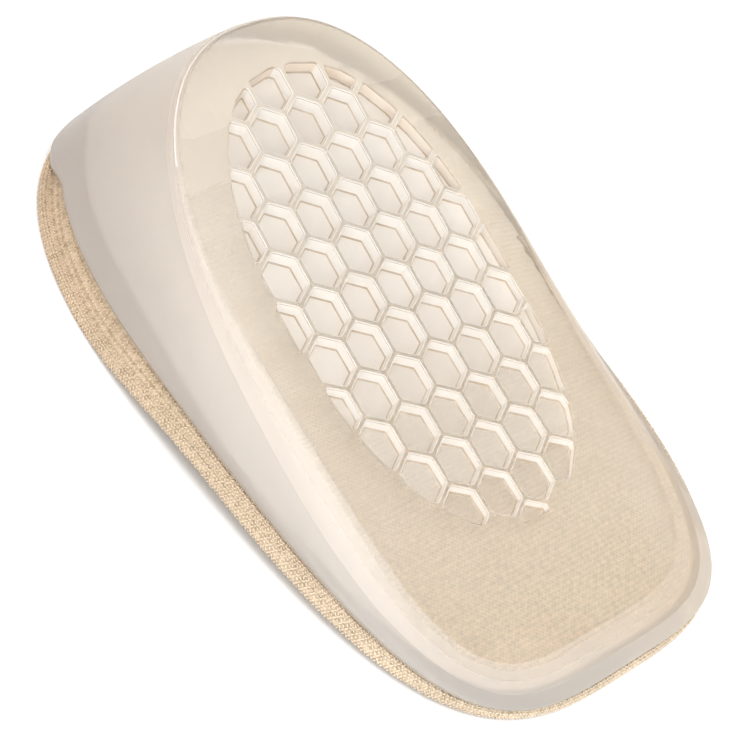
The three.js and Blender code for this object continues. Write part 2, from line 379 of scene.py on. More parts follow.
    def cut_edge_point(self, angle: float, down: float) -> Vector:
        """Point of the cover's cut edge, which bulges a little in its middle.

        Args:
            angle: Direction from the middle, in radians.
            down: Share of the way down the edge.

        Returns:
            The point.
        """
        point = self.cover_point(angle, 2)
        point.z -= self.cover_thickness * down
        outward = Vector((math.cos(angle), math.sin(angle), 0))
        return point + outward * (self.cut_edge_bulge * math.sin(math.pi * down))

    def cover_centre(self, distance: float) -> Vector:
        """Middle of the seat, moved up by a distance."""
        return Vector((0, 0, self.seat_edge_height(0) + self.seat_rise(0, 0) + distance))

    def face_point(self, angle: float, share: float) -> Vector:
        """Face point at a share of the way from the middle to the face's edge.

        Args:
            angle: Direction from the middle, in radians.
            share: Share of the way out.

        Returns:
            The point.
        """
        edge = self.face.point(angle)
        x = edge.x * share
        drop = self.face_edge_drop * share**self.face_edge_power
        return Vector((x, edge.y * share, self.face_height(x) - drop))

    def on_face(self, x: float, y: float) -> Vector:
        """Face point over a place in plan.

        Args:
            x: Lengthwise place.
            y: Widthwise place.

        Returns:
            The point.
        """
        reach = self.face.point(math.atan2(y, x)).length
        drop = self.face_edge_drop * (math.hypot(x, y) / reach)**self.face_edge_power
        return Vector((x, y, self.face_height(x) - drop))

    def lip_share(self, angle: float) -> float:
        """How much of the lip behind the heel there is at an angle, from 0 to 1."""
        from_heel = math.degrees(abs(math.pi - angle % TURN))
        return 1 - smoothstep(from_heel, self.lip_half_angle,
                              self.lip_half_angle + self.lip_fade_angle)

    def foot_share(self, angle: float) -> float:
        """Share of the margin, from 1 to 2, at which the gel's foot stands.

        Args:
            angle: Direction from the middle, in radians.

        Returns:
            The share.
        """
        seat = self.seat.point(angle).length
        gel = self.gel.point(angle).length
        cover = self.cover.point(angle).length
        return 1 + lerp((gel - seat) / (cover - seat), 1, self.lip_share(angle))

    def foot_point(self, angle: float, share: float, clearance: float) -> Vector:
        """Point of the gel's rounded foot, from the cover at share 0 to the wall at 1.

        Args:
            angle: Direction from the middle, in radians.
            share: Share of the way up the foot.
            clearance: Gap that it keeps from the cover.

        Returns:
            The point.
        """
        inner = self.cover_offset(angle, self.foot_share(angle), clearance)
        radius = self.gel_edge
        swing = share * math.pi / 2
        outward = Vector((math.cos(angle), math.sin(angle), 0)) * math.sin(swing)
        upward = Vector((0, 0, 1 - math.cos(swing)))
        return inner + (outward + upward) * radius / math.sqrt(2)

    def edge_point(self, angle: float, share: float) -> Vector:
        """Point of the rounded edge, from the face at share 0 to the wall at 1.

        Args:
            angle: Direction from the middle, in radians.
            share: Share of the way over the edge.

        Returns:
            The point.
        """
        corner = self.face_point(angle, 1)
        wall = self.foot_point(angle, 1, 0) - corner
        towards_front = 0.5 + 0.5 * math.cos(angle)
        wanted = lerp(self.heel_edge_radius, self.front_edge_radius, towards_front)
        radius = min(wanted, wall.length / 2)
        on_face = self.face_point(angle, 1 - radius / self.face.point(angle).length)
        on_wall = corner + wall.normalized() * radius
        return (on_face.lerp(corner, share)).lerp(corner.lerp(on_wall, share), share)

    def wall_point(self, angle: float, share: float) -> Vector:
        """Point of the wall between its rounded edge and the gel's foot.

        Args:
            angle: Direction from the middle, in radians.
            share: Share of the way down the wall.

        Returns:
            The point.
        """
        point = self.edge_point(angle, 1).lerp(self.foot_point(angle, 1, 0), share)
        outward = Vector((math.cos(angle), math.sin(angle), 0))
        return point + outward * (self.wall_bulge * 4 * share * (1 - share))


class MeshParts:
    """Vertices and faces of a piece that grows ring by ring."""

    def __init__(self, shift: Vector) -> None:
        """Starts empty.

        Args:
            shift: Move from the cup's own middle to the frame's origin, in millimetres.
        """
        self.shift = shift
        self.points: list[Vector] = []
        self.faces: list[tuple[int, ...]] = []
        self.slots: list[int] = []
        self.values: dict[str, list[float]] = {}

    def add(self, point: Vector, **values: float) -> int:
        """Adds a vertex with its attribute values and returns its index.

        Args:
            point: Its place, in millimetres.
            values: Value of each attribute.

        Returns:
            The index of the vertex.
        """
        self.points.append((point + self.shift) * MM)
        for name, value in values.items():
            self.values.setdefault(name, []).append(value)
        return len(self.points) - 1

    def ring(self, point_at: PointAt, steps: int, **values: float) -> list[int]:
        """Adds a closed ring of vertices, one for each step of the turn."""
        return [self.add(point_at(TURN * step / steps), **values) for step in range(steps)]

    def face(self, corners: Sequence[int], slot: int = 0) -> None:
        """Adds a face in a material slot."""
        self.faces.append(tuple(corners))
        self.slots.append(slot)

    def bridge(self, inner: Sequence[int], outer: Sequence[int],
               slots: int | Sequence[int] = 0) -> None:
        """Joins two rings of the same length by quads that face upwards or outwards.

        Args:
            inner: The upper or inner ring.
            outer: The lower or outer ring.
            slots: Material slot of the band, or of each of its faces.
        """
        count = len(inner)
        for i in range(count):
            j = (i + 1) % count
            slot = slots if isinstance(slots, int) else slots[i]
            self.face((inner[i], outer[i], outer[j], inner[j]), slot)

    def fan(self, centre: int, ring: Sequence[int], slot: int = 0, flip: bool = False) -> None:
        """Closes a ring with triangles to a centre vertex.

        Args:
            centre: The centre vertex.
            ring: The ring.
            slot: Material slot of the triangles.
            flip: Whether they face down.
        """
        for i, here in enumerate(ring):
            after = ring[(i + 1) % len(ring)]
            self.face((centre, after, here) if flip else (centre, here, after), slot)

    def build(self, name: str, materials: Sequence[bpy.types.Material]) -> bpy.types.Object:
        """Makes the object, smooth shaded, with its attributes and materials.

        Args:
            name: Name of the piece.
            materials: Its material slots.

        Returns:
            The finished object.
        """
        mesh = bpy.data.meshes.new(name)
        mesh.from_pydata(self.points, [], self.faces)
        for material in materials:
            mesh.materials.append(material)
        mesh.polygons.foreach_set("material_index", self.slots)
        mesh.polygons.foreach_set("use_smooth", [True] * len(self.faces))
        for key, values in self.values.items():
            attribute = mesh.attributes.new(key, "FLOAT", "POINT")
            attribute.data.foreach_set("value", values)
        mesh.validate()
        mesh.update()
        made = bpy.data.objects.new(name, mesh)
        bpy.context.scene.collection.objects.link(made)
        LOG.info("%s: %d faces", name, len(mesh.polygons))
        return made


@dataclass(frozen=True)
class Honeycomb:
    """The regular cells of the recess and the rounding of their walls.

    Args:
        pitch: Distance between the middles of neighbouring cells, in the slope.
        rib: Width of the ribs between cells.
        first_shift: Move of the middle row from the middle of the recess.
        smallest: Side of the square whose area the smallest cell must pass.
        oval_steps: Corners of the oval that clips the cells.
        corner: Radius of a cell's corners in plan.
        corner_scales: Scales of that radius, tried in turn until the cell has room for one.
        corner_turn: Turn above which a corner is rounded in several steps, in radians.
        corner_steps: Steps of such a corner.
        lip: Radius where a rib's top meets the cell's wall.
        draft: How far a wall leans in between its lip and its fillet.
        fillet: Radius between a wall and the cell's floor.
        round_steps: Steps of each rounding.
    """

    pitch: float = 6.2
    rib: float = 0.75
    first_shift: float = -1.15
    smallest: float = 2.2
    oval_steps: int = 48
    corner: float = 0.4
    corner_scales: tuple[float, ...] = (1.0, 0.6, 0.35)
    corner_turn: float = 0.5
    corner_steps: int = 4
    lip: float = 0.15
    draft: float = 0.12
    fillet: float = 0.15
    round_steps: int = 3

    def oval(self, shape: CupShape, grow: float = 0.0) -> list[Vector]:
        """Corners of the oval that bounds the cells, anticlockwise, moved out by a distance.

        Args:
            shape: Sizes of the cup.
            grow: The distance.

        Returns:
            The corners.
        """
        heel, front = shape.recess_span
        reach = (front - heel) / 2 + grow
        half = shape.face.half - shape.recess_side_margin + grow
        outline = Outline(reach, reach, half, half, shape.recess_power, shape.recess_power)
        middle = Vector(((heel + front) / 2, 0))
        steps = self.oval_steps
        return [outline.point(TURN * (step + 0.5) / steps) + middle for step in range(steps)]

    def cells(self, shape: CupShape) -> list[list[Vector]]:
        """Convex outlines of the cells, each anticlockwise.

        Args:
            shape: Sizes of the cup.

        Returns:
            The cells, row by row.
        """
        slope = math.atan((shape.heel_rise - shape.front_rise)
                          / (shape.face.front + shape.face.heel))
        squeeze = math.cos(slope)
        corner = (self.pitch - self.rib) / math.sqrt(3)
        row_step = self.pitch * math.sqrt(3) / 2 * squeeze
        oval = self.oval(shape)
        heel, front = shape.recess_span
        rows = math.ceil((front - heel) / 2 / row_step) + 1
        half = shape.face.half - shape.recess_side_margin
        columns = math.ceil(half / self.pitch) + 1
        found = []
        for row in range(-rows, rows + 1):
            for column in range(-columns, columns + 1):
                x = (heel + front) / 2 + self.first_shift + row * row_step
                y = (column + (0 if row % 2 == 0 else 0.5)) * self.pitch
                hexagon = [Vector((x + corner * math.cos(side * math.pi / 3) * squeeze,
                                   y + corner * math.sin(side * math.pi / 3)))
                           for side in range(6)]
                cell = clip(hexagon, oval)
                if len(cell) > 2 and area(cell) > self.smallest**2:
                    found.append(cell)
        return found

    def rings(self, cell: Sequence[Vector]) -> Callable[[float], list[Vector]] | None:
        """Rounded rings of one cell, as a function of how far a ring lies inside it.

        Args:
            cell: Convex outline of the cell.

        Returns:
            The function, or None for a cell too small to round.
        """
        for scale in self.corner_scales:
            core = inset(cell, self.corner * scale)
            if len(core) > 2:
                break
        else:
            return None
        arcs = []
        for i, point in enumerate(core):
            before = (point - core[i - 1]).normalized()
            after = (core[(i + 1) % len(core)] - point).normalized()
            start = math.atan2(-before.x, before.y)
            turn = math.atan2(before.x * after.y - before.y * after.x, before.dot(after))
            arcs.append((point, start, turn))

        def ring(depth: float) -> list[Vector]:
            """Ring of points at a depth inside the cell's outline.

            Args:
                depth: How far inside, negative for outside.

            Returns:
                The ring, anticlockwise.
            """
            radius = self.corner * scale - depth * (scale if depth > 0 else 1)
            points = []
            for point, start, turn in arcs:
                steps = self.corner_steps if turn > self.corner_turn else 1
                for step in range(steps + 1):
                    angle = start + turn * step / steps
                    points.append(point + Vector((math.cos(angle), math.sin(angle))) * radius)
            return points

        return ring


def area(polygon: Sequence[Vector]) -> float:
    """Signed area of a polygon in plan.

    Args:
        polygon: Its corners.

    Returns:
        The area, positive where they run anticlockwise.
    """
    total = 0.0
    for i, point in enumerate(polygon):
        after = polygon[(i + 1) % len(polygon)]
        total += point.x * after.y - after.x * point.y
    return total / 2


def clip_line(polygon: Sequence[Vector], start: Vector, end: Vector) -> list[Vector]:
    """Part of a convex polygon to the left of a line.

    Args:
        polygon: Its corners.
        start: A point on the line.
        end: A later point on the line.

    Returns:
        Corners of the part.
    """
    along = end - start

    def side(point: Vector) -> float:
        """Positive to the left of the line."""
        away = point - start
        return along.x * away.y - along.y * away.x

    kept = []
    for i, point in enumerate(polygon):
        after = polygon[(i + 1) % len(polygon)]
        here, there = side(point), side(after)
        if here >= 0:
            kept.append(point)
        if here * there < 0:
            kept.append(point.lerp(after, here / (here - there)))
    return kept


def clip(polygon: Sequence[Vector], window: Sequence[Vector]) -> list[Vector]:
    """Part of a convex polygon inside another one, both anticlockwise.

    Args:
        polygon: Corners of the polygon.
        window: Corners of the other one.

    Returns:
        Corners of the part.
    """
    kept = list(polygon)
    for i, start in enumerate(window):
        kept = clip_line(kept, start, window[(i + 1) % len(window)])
    return kept


def inset(polygon: Sequence[Vector], distance: float) -> list[Vector]:
    """Convex polygon with every side moved in by a distance, without its tiny sides.

    Args:
        polygon: Its corners, anticlockwise.
        distance: The distance.

    Returns:
        Corners of the smaller polygon.
    """
    kept = list(polygon)
    for i, start in enumerate(polygon):
        end = polygon[(i + 1) % len(polygon)]
        along = end - start
        if along.length < NO_LENGTH:
            continue
        move = Vector((-along.y, along.x)).normalized() * distance
        kept = clip_line(kept, start + move, end + move)
    return [point for i, point in enumerate(kept)
            if (point - kept[i - 1]).length > SHORTEST_SIDE]


class GelZone(Enum):
    """Zones of the gel that differ in clearness or colour."""

    FACE = 0
    SHOULDER_HIGH = 1
    SHOULDER_MIDDLE = 2
    SHOULDER_LOW = 3
    # Painted highlight: a whitish line along the middle of the rounded edge round the heel.
    CREASE = 4
    WALL = 5
    FOOT = 6
    UNDERSIDE = 7
    # Painted highlight: whitish upper steps of each cell's lip.
    RIB_CREST_HIGHLIGHT = 8
    # Painted shade: thin brown lines at the foot of each lip and round each cell's fillet, where
    # the cover shows bent through the ribs.
    RIB_SHADE = 9
    CELL_WALL = 10
    # Painted reflection: tan on the recess's outer wall at the heel end, where the cover shows
    # bent through the gel.
    OVAL_WALL = 11
    CELL_FLOOR = 12


@dataclass(frozen=True)
class GelFinish:
    """Finish of one zone of the silicone gel.

    Args:
        zone: The zone that wears it.
        clearness: Share of light that goes through instead of scattering, for each grade.
        roughness: Roughness of the skin.
        heel: Colour at the heel end.
        front: Colour at the front end.
        patch: Colour of its uneven patches.
        grain: How many patches there are along a metre.
        ripple: Strength of the skin's shallow waves.
        patchiness: How strongly the patches show.
        wave_grain: How many waves there are along a metre.
        wave_depth: Depth of the waves, in metres.
        bending: How strongly the gel bends light, as its index of refraction.
        far: Painted light and shade: colour at the heel end on the side away from the key light,
            if it differs.
        front_far: Painted light and shade: colour at the front end on that side, if it differs.
    """

    zone: GelZone
    clearness: tuple[float, ...]
    roughness: float
    heel: Colour
    front: Colour
    patch: Colour
    grain: float = 90.0
    ripple: float = 0.1
    patchiness: float = 0.5
    wave_grain: float = 420.0
    wave_depth: float = 0.0003
    bending: float = 1.41
    far: Colour | None = None
    front_far: Colour | None = None

    def materials(self, mottle: bpy.types.NodeTree) -> list[bpy.types.Material]:
        """Materials of the zone's grades, in order."""
        return [self.material(mottle, clearness) for clearness in self.clearness]

    def material(self, mottle: bpy.types.NodeTree, clearness: float) -> bpy.types.Material:
        """Material of one grade, with its shallow waves and its uneven milkiness.

        Args:
            mottle: The soft mottle's group.
            clearness: Clearness of the grade.

        Returns:
            The material.
        """
        maker = Nodes.material("gel_" + self.zone.name.lower())
        place = maker.place()
        cloud = maker.group(mottle, Scale=self.grain, Detail=2.0)
        maker.link(place, cloud.inputs["Place"])
        # Painted light and shade: each end's colour changes across the cup, from the key light's
        # side to the far side.
        across = maker.share(place, "Y", COLOUR_HALF_WIDTH)
        heel = maker.mix_colour(across, self.heel, self.far or self.heel)
        front = maker.mix_colour(across, self.front, self.front_far or self.front)
        plain = maker.mix_colour(maker.length_share(place), heel, front)
        patchy = maker.math("MULTIPLY", cloud.outputs["Cloud"], self.patchiness)
        colour = maker.mix_colour(patchy, plain, self.patch)
        wave = maker.group(mottle, Scale=self.wave_grain, Detail=3.0)
        maker.link(place, wave.inputs["Place"])
        bump = maker.add("ShaderNodeBump", Strength=self.ripple, Distance=self.wave_depth)
        maker.link(wave.outputs["Cloud"], bump.inputs["Height"])
        shader = maker.principled(**{
            "Transmission Weight": clearness,
            "Roughness": self.roughness,
            "IOR": self.bending,
        })
        maker.link(colour, shader.inputs["Base Color"])
        maker.link(bump.outputs["Normal"], shader.inputs["Normal"])
        return maker.tree_owner


WALL_CLEARNESS = (0.52, 0.60, 0.68, 0.76, 0.82)
# The far colours are painted light and shade, for the sides towards and away from the key light.
GEL_FINISHES = (
    GelFinish(GelZone.FACE, (0.68, 0.72, 0.76, 0.80, 0.84, 0.88, 0.91, 0.94), 0.12,
              (0.88, 0.81, 0.72), (1.0, 0.97, 0.91), (0.92, 0.86, 0.775),
              far=(1.0, 0.93, 0.79)),
    GelFinish(GelZone.SHOULDER_HIGH, (0.80,), 0.18,
              (0.90, 0.83, 0.76), (1.0, 0.97, 0.93), (0.93, 0.89, 0.84),
              far=(0.92, 0.81, 0.66), front_far=(0.95, 0.86, 0.74)),
    GelFinish(GelZone.SHOULDER_MIDDLE, (0.72,), 0.25,
              (0.80, 0.73, 0.67), (0.98, 0.95, 0.91), (0.88, 0.84, 0.79),
              far=(0.88, 0.76, 0.60), front_far=(0.90, 0.80, 0.66)),
    GelFinish(GelZone.SHOULDER_LOW, (0.64,), 0.32,
              (0.70, 0.63, 0.57), (0.95, 0.92, 0.88), (0.84, 0.79, 0.75),
              far=(0.86, 0.73, 0.56), front_far=(0.84, 0.72, 0.56)),
    # Painted highlight of the crease line.
    GelFinish(GelZone.CREASE, (0.45,), 0.2,
              (0.93, 0.90, 0.87), (0.93, 0.90, 0.87), (0.90, 0.87, 0.84)),
    GelFinish(GelZone.WALL, WALL_CLEARNESS, 0.4,
              (0.60, 0.535, 0.48), (0.66, 0.635, 0.60), (0.68, 0.64, 0.60),
              far=(1.0, 0.90, 0.77), front_far=(0.92, 0.83, 0.71)),
    GelFinish(GelZone.FOOT, (0.65,), 0.25,
              (0.80, 0.72, 0.63), (0.90, 0.85, 0.78), (0.84, 0.78, 0.71)),
    GelFinish(GelZone.UNDERSIDE, (0.9,), 0.3,
              (0.97, 0.95, 0.92), (0.97, 0.95, 0.92), (0.95, 0.92, 0.89)),
    # Painted highlight on the ribs' lips.
    GelFinish(GelZone.RIB_CREST_HIGHLIGHT, (0.55,), 0.1,
              (0.99, 0.97, 0.95), (0.99, 0.96, 0.92), (0.88, 0.81, 0.72), 420.0),
    # Painted shade lines on the ribs and fillets.
    GelFinish(GelZone.RIB_SHADE, (0.62,), 0.12,
              (0.66, 0.54, 0.41), (0.62, 0.47, 0.32), (0.98, 0.95, 0.91), 420.0),
    GelFinish(GelZone.CELL_WALL, (0.36,), 0.1,
              (0.94, 0.91, 0.87), (0.98, 0.96, 0.92), (0.88, 0.83, 0.76), 300.0),
    # Painted reflection of the cover, tan at the heel end.
    GelFinish(GelZone.OVAL_WALL, (0.3,), 0.12,
              (0.74, 0.59, 0.44), (1.0, 0.99, 0.97), (0.92, 0.87, 0.80), 200.0),
    GelFinish(GelZone.CELL_FLOOR, (0.62, 0.55, 0.60, 0.68, 0.78, 0.90), 0.1,
              (0.85, 0.815, 0.77), (1.0, 0.94, 0.86), (0.97, 0.94, 0.91)),
)


def gel_slot(zone: GelZone, grade: int = 0) -> int:
    """Material slot of a zone's grade.

    Args:
        zone: The zone.
        grade: The grade, counted from the milkiest.

    Returns:
        Index of the slot among the gel's materials.
    """
    first = 0
    for finish in GEL_FINISHES:
        if finish.zone is zone:
            return first + min(grade, len(finish.clearness) - 1)
        first += len(finish.clearness)
    raise ValueError(zone.name)


@dataclass(frozen=True)
class KnitFinish:
    """Finish of the knitted cover.

    Args:
        groove: Colour between the yarns, a painted shade in the grooves.
        yarn_heel: Colour of the bare yarns at the heel end.
        yarn_front: Colour of the bare yarns at the front end.
        wet_heel: Colour under clear gel at the heel end.
        wet_front: Colour under clear gel at the front end.
        tinge: Colour of its patches where the gel is thin.
        shade: How much darker the grooves are under gel.
        blur_and_glare: Colour that thick gel blurs the knit to, also the colour of the painted
            highlight on the front's side.
        course: Distance between rows of stitches, in metres.
        stitch: Length of one zigzag of a row, in metres.
        relief: Height of the yarns, in metres.
        fleck_share: Share of the yarns' lightness that comes from uneven flecks.
        fleck_grain: How many flecks there are along a metre.
        tinge_grain: How many tinged patches there are along a metre.
        cloud_grain: How many darker patches the bare yarns have along a metre.
        cloud_heel: How dark those patches are at the heel end.
        cloud_front: How dark those patches are at the front end.
        fibre_grain: How many fibres a raised stitch shows along a metre.
        fibre_relief: Height of the fibres, in metres.
        roughness: Roughness of the flat knit.
        yarn_roughness: Roughness of the raised stitches.
        sheen: Strength of the knit's soft sheen.
    """

    groove: Colour = (0.26, 0.18, 0.10)
    yarn_heel: Colour = (0.66, 0.49, 0.33)
    yarn_front: Colour = (0.78, 0.65, 0.49)
    wet_heel: Colour = (0.96, 0.87, 0.77)
    wet_front: Colour = (1.0, 0.87, 0.68)
    tinge: Colour = (0.98, 0.78, 0.60)
    shade: float = 0.68
    blur_and_glare: Colour = (0.93, 0.84, 0.73)
    course: float = 0.00062
    stitch: float = 0.00066
    relief: float = 0.00010
    fleck_share: float = 0.6
    fleck_grain: float = 1500.0
    tinge_grain: float = 70.0
    cloud_grain: float = 140.0
    cloud_heel: float = 0.80
    cloud_front: float = 0.84
    fibre_grain: float = 2600.0
    fibre_relief: float = 0.00005
    roughness: float = 0.85
    yarn_roughness: float = 0.8
    sheen: float = 0.2

    def material(self, knit: bpy.types.NodeTree,
                 mottle: bpy.types.NodeTree) -> bpy.types.Material:
        """Material of the knit: rows across the cup, and along the rim on its margin.

        Args:
            knit: The zigzag knit's group.
            mottle: The soft mottle's group.

        Returns:
            The material.
        """
        maker = Nodes.material("beige_knit")
        place = maker.place()
        apart = maker.add("ShaderNodeSeparateXYZ")
        maker.link(place, apart.inputs[0])
        sizes = {"Course": self.course, "Stitch": self.stitch}
        flat = maker.group(knit, **sizes)
        maker.link(apart.outputs["Y"], flat.inputs["Along"])
        maker.link(apart.outputs["X"], flat.inputs["Across"])
        margin = maker.group(knit, **sizes)
        maker.link(maker.attribute("around"), margin.inputs["Along"])
        maker.link(maker.attribute("across"), margin.inputs["Across"])
        bare = maker.attribute("bare")
        height = maker.mix_value(bare, flat.outputs["Height"], margin.outputs["Height"])
        fleck = maker.group(mottle, Scale=self.fleck_grain, Detail=3.0)
        maker.link(place, fleck.inputs["Place"])
        raised = maker.math("MULTIPLY_ADD", fleck.outputs["Cloud"], self.fleck_share,
                            maker.math("MULTIPLY", height, 1 - self.fleck_share))
        share = maker.length_share(place)
        tinge = maker.group(mottle, Scale=self.tinge_grain, Detail=3.0)
        maker.link(place, tinge.inputs["Place"])
        patchy = maker.math("MULTIPLY", tinge.outputs["Cloud"], share)
        wet_front = maker.mix_colour(patchy, self.wet_front, self.tinge)
        wet = maker.mix_colour(share, self.wet_heel, wet_front)
        # Painted shade: the grooves under the gel are darker than the yarns by the share in shade.
        wet_groove = maker.mix_colour(share, darker(self.wet_heel, self.shade),
                                      darker(self.wet_front, self.shade))
        under_gel = maker.mix_colour(raised, wet_groove, wet)
        # Thick gel blurs the knit to a pale colour; on the front's side this mix also paints a
        # highlight.
        knit_blur_and_glare = maker.mix_colour(maker.attribute("haze"), under_gel, self.blur_and_glare)
        # Painted shade: the bare grooves take the dark groove colour.
        loose = maker.mix_colour(raised, self.groove, self.loose_yarn(maker, mottle))
        colour = maker.mix_colour(bare, knit_blur_and_glare, loose)
        bump = maker.add("ShaderNodeBump", Strength=0.9, Distance=self.relief)
        maker.link(height, bump.inputs["Height"])
        shader = maker.principled(**{"Roughness": self.roughness, "Sheen Weight": self.sheen})
        maker.link(colour, shader.inputs["Base Color"])
        maker.link(bump.outputs["Normal"], shader.inputs["Normal"])
        return maker.tree_owner

    def loose_yarn(self, maker: "Nodes", mottle: bpy.types.NodeTree) -> bpy.types.NodeSocket:
        """Adds the uneven colour of the bare yarns to a material.

        Args:
            maker: Nodes of the material.
            mottle: The soft mottle's group.

        Returns:
            The colour.
        """
        place = maker.place()
        cloud = maker.group(mottle, Scale=self.cloud_grain, Detail=4.0)
        maker.link(place, cloud.inputs["Place"])
        share = maker.length_share(place)
        light = maker.mix_colour(share, self.yarn_heel, self.yarn_front)
        dark = maker.mix_colour(share, darker(self.yarn_heel, self.cloud_heel),
                                darker(self.yarn_front, self.cloud_front))
        return maker.mix_colour(cloud.outputs["Cloud"], light, dark)

    def stitch_material(self, mottle: bpy.types.NodeTree) -> bpy.types.Material:
        """Material of the raised stitches on the margin.

        Args:
            mottle: The soft mottle's group.

        Returns:
            The material.
        """
        maker = Nodes.material("beige_yarn")
        fleck = maker.group(mottle, Scale=self.fibre_grain, Detail=3.0)
        maker.link(maker.place(), fleck.inputs["Place"])
        bump = maker.add("ShaderNodeBump", Strength=0.5, Distance=self.fibre_relief)
        maker.link(fleck.outputs["Cloud"], bump.inputs["Height"])
        shader = maker.principled(**{
            "Roughness": self.yarn_roughness,
            "Sheen Weight": self.sheen,
        })
        maker.link(self.loose_yarn(maker, mottle), shader.inputs["Base Color"])
        maker.link(bump.outputs["Normal"], shader.inputs["Normal"])
        return maker.tree_owner


class Nodes:
    """Short calls for making a node tree."""

    def __init__(self, tree: bpy.types.NodeTree, tree_owner: object) -> None:
        """Works on a tree.

        Args:
            tree: The tree that gets the nodes.
            tree_owner: What holds the tree, such as a material.
        """
        self.tree = tree
        self.tree_owner = tree_owner

    @classmethod
    def material(cls, name: str) -> "Nodes":
        """A new empty material with an output.

        Args:
            name: Name of the material.

        Returns:
            Its nodes.
        """
        made = bpy.data.materials.new(name)
        made.use_nodes = True
        made.node_tree.nodes.clear()
        return cls(made.node_tree, made)

    @classmethod
    def shader_group(cls, name: str, inputs: Sequence[tuple[str, str, float]],
                     outputs: Sequence[str]) -> "Nodes":
        """A new shader group.

        Args:
            name: Name of the group.
            inputs: Name, socket type and default of each input.
            outputs: Names of the outputs, all plain values.

        Returns:
            Its nodes.
        """
        tree = bpy.data.node_groups.new(name, "ShaderNodeTree")
        for title, kind, default in inputs:
            socket = tree.interface.new_socket(title, in_out="INPUT", socket_type=kind)
            if kind == "NodeSocketFloat":
                socket.default_value = default
        for title in outputs:
            tree.interface.new_socket(title, in_out="OUTPUT", socket_type="NodeSocketFloat")
        return cls(tree, tree)

    def add(self, kind: str, **values: object) -> bpy.types.Node:
        """Adds a node and sets the inputs that are named.

        Args:
            kind: Type of the node.
            values: Value of each input by name.

        Returns:
            The node.
        """
        node = self.tree.nodes.new(kind)
        for name, value in values.items():
            node.inputs[name].default_value = value
        return node

    def link(self, source: bpy.types.NodeSocket, target: bpy.types.NodeSocket) -> None:
        """Links two sockets."""
        self.tree.links.new(source, target)

    def group(self, tree: bpy.types.NodeTree, **values: float) -> bpy.types.Node:
        """Adds a group and sets the inputs that are named.

        Args:
            tree: The group's tree.
            values: Value of each input by name.

        Returns:
            The group's node.
        """
        node = self.tree.nodes.new("ShaderNodeGroup")
        node.node_tree = tree
        for name, value in values.items():
            node.inputs[name].default_value = value
        return node

    def place(self) -> bpy.types.NodeSocket:
        """Object coordinates."""
        return self.add("ShaderNodeTexCoord").outputs["Object"]

    def share(self, place: bpy.types.NodeSocket, axis: str,
              reach: float) -> bpy.types.NodeSocket:
        """Share of the way along an axis, from minus a reach to plus it, in metres.

        Args:
            place: The place to measure.
            axis: X, Y or Z.
            reach: The reach.

        Returns:
            The share, from 0 to 1.
        """
        apart = self.add("ShaderNodeSeparateXYZ")
        self.link(place, apart.inputs[0])
        spread = self.add("ShaderNodeMapRange", **{"From Min": -reach, "From Max": reach})
        self.link(apart.outputs[axis], spread.inputs["Value"])
        return spread.outputs["Result"]

    def length_share(self, place: bpy.types.NodeSocket) -> bpy.types.NodeSocket:
        """Share of the way from the heel end to the front end."""
        return self.share(place, "X", COLOUR_HALF_LENGTH)

    def math(self, operation: str, *parts: object) -> bpy.types.NodeSocket:
        """Adds a Math node on sockets and numbers, and returns its result.

        Args:
            operation: What it works out.
            parts: Its inputs in order.

        Returns:
            The result.
        """
        node = self.tree.nodes.new("ShaderNodeMath")
        node.operation = operation
        for socket, part in zip(node.inputs, parts):
            if isinstance(part, (int, float)):
                socket.default_value = part
            else:
                self.link(part, socket)
        return node.outputs[0]

    def attribute(self, name: str) -> bpy.types.NodeSocket:
        """Value of one of the piece's own attributes.

        Args:
            name: Name of the attribute.

        Returns:
            Its value.
        """
        node = self.tree.nodes.new("ShaderNodeAttribute")
        node.attribute_name = name
        return node.outputs["Fac"]

    def _mix(self, kind: str, sockets: tuple[int, int, int, int],
             parts: Sequence[object]) -> bpy.types.NodeSocket:
        """Adds a Mix node of a kind and returns its result.

        Args:
            kind: What it mixes.
            sockets: Indices of the factor, the two inputs and the output.
            parts: Factor and the two inputs.

        Returns:
            The result.
        """
        node = self.tree.nodes.new("ShaderNodeMix")
        node.data_type = kind
        for index, part in zip(sockets, parts):
            if isinstance(part, bpy.types.NodeSocket):
                self.link(part, node.inputs[index])
            elif isinstance(part, tuple):
                node.inputs[index].default_value = (*part, 1)
            else:
                node.inputs[index].default_value = part
        return node.outputs[sockets[3]]

    def mix_value(self, factor: object, low: object, high: object) -> bpy.types.NodeSocket:
        """Mix of two values."""
        return self._mix("FLOAT", (0, 2, 3, 0), (factor, low, high))

    def mix_colour(self, factor: object, low: object, high: object) -> bpy.types.NodeSocket:
        """Mix of two colours."""
        return self._mix("RGBA", (0, 6, 7, 2), (factor, low, high))

    def principled(self, **values: object) -> bpy.types.Node:
        """Adds the shader with its plain values and joins it to an output.

        Args:
            values: Value of each input by name.

        Returns:
            The shader.
        """
        shader = self.add("ShaderNodeBsdfPrincipled", **values)
        output = self.add("ShaderNodeOutputMaterial")
        self.link(shader.outputs["BSDF"], output.inputs["Surface"])
        return shader


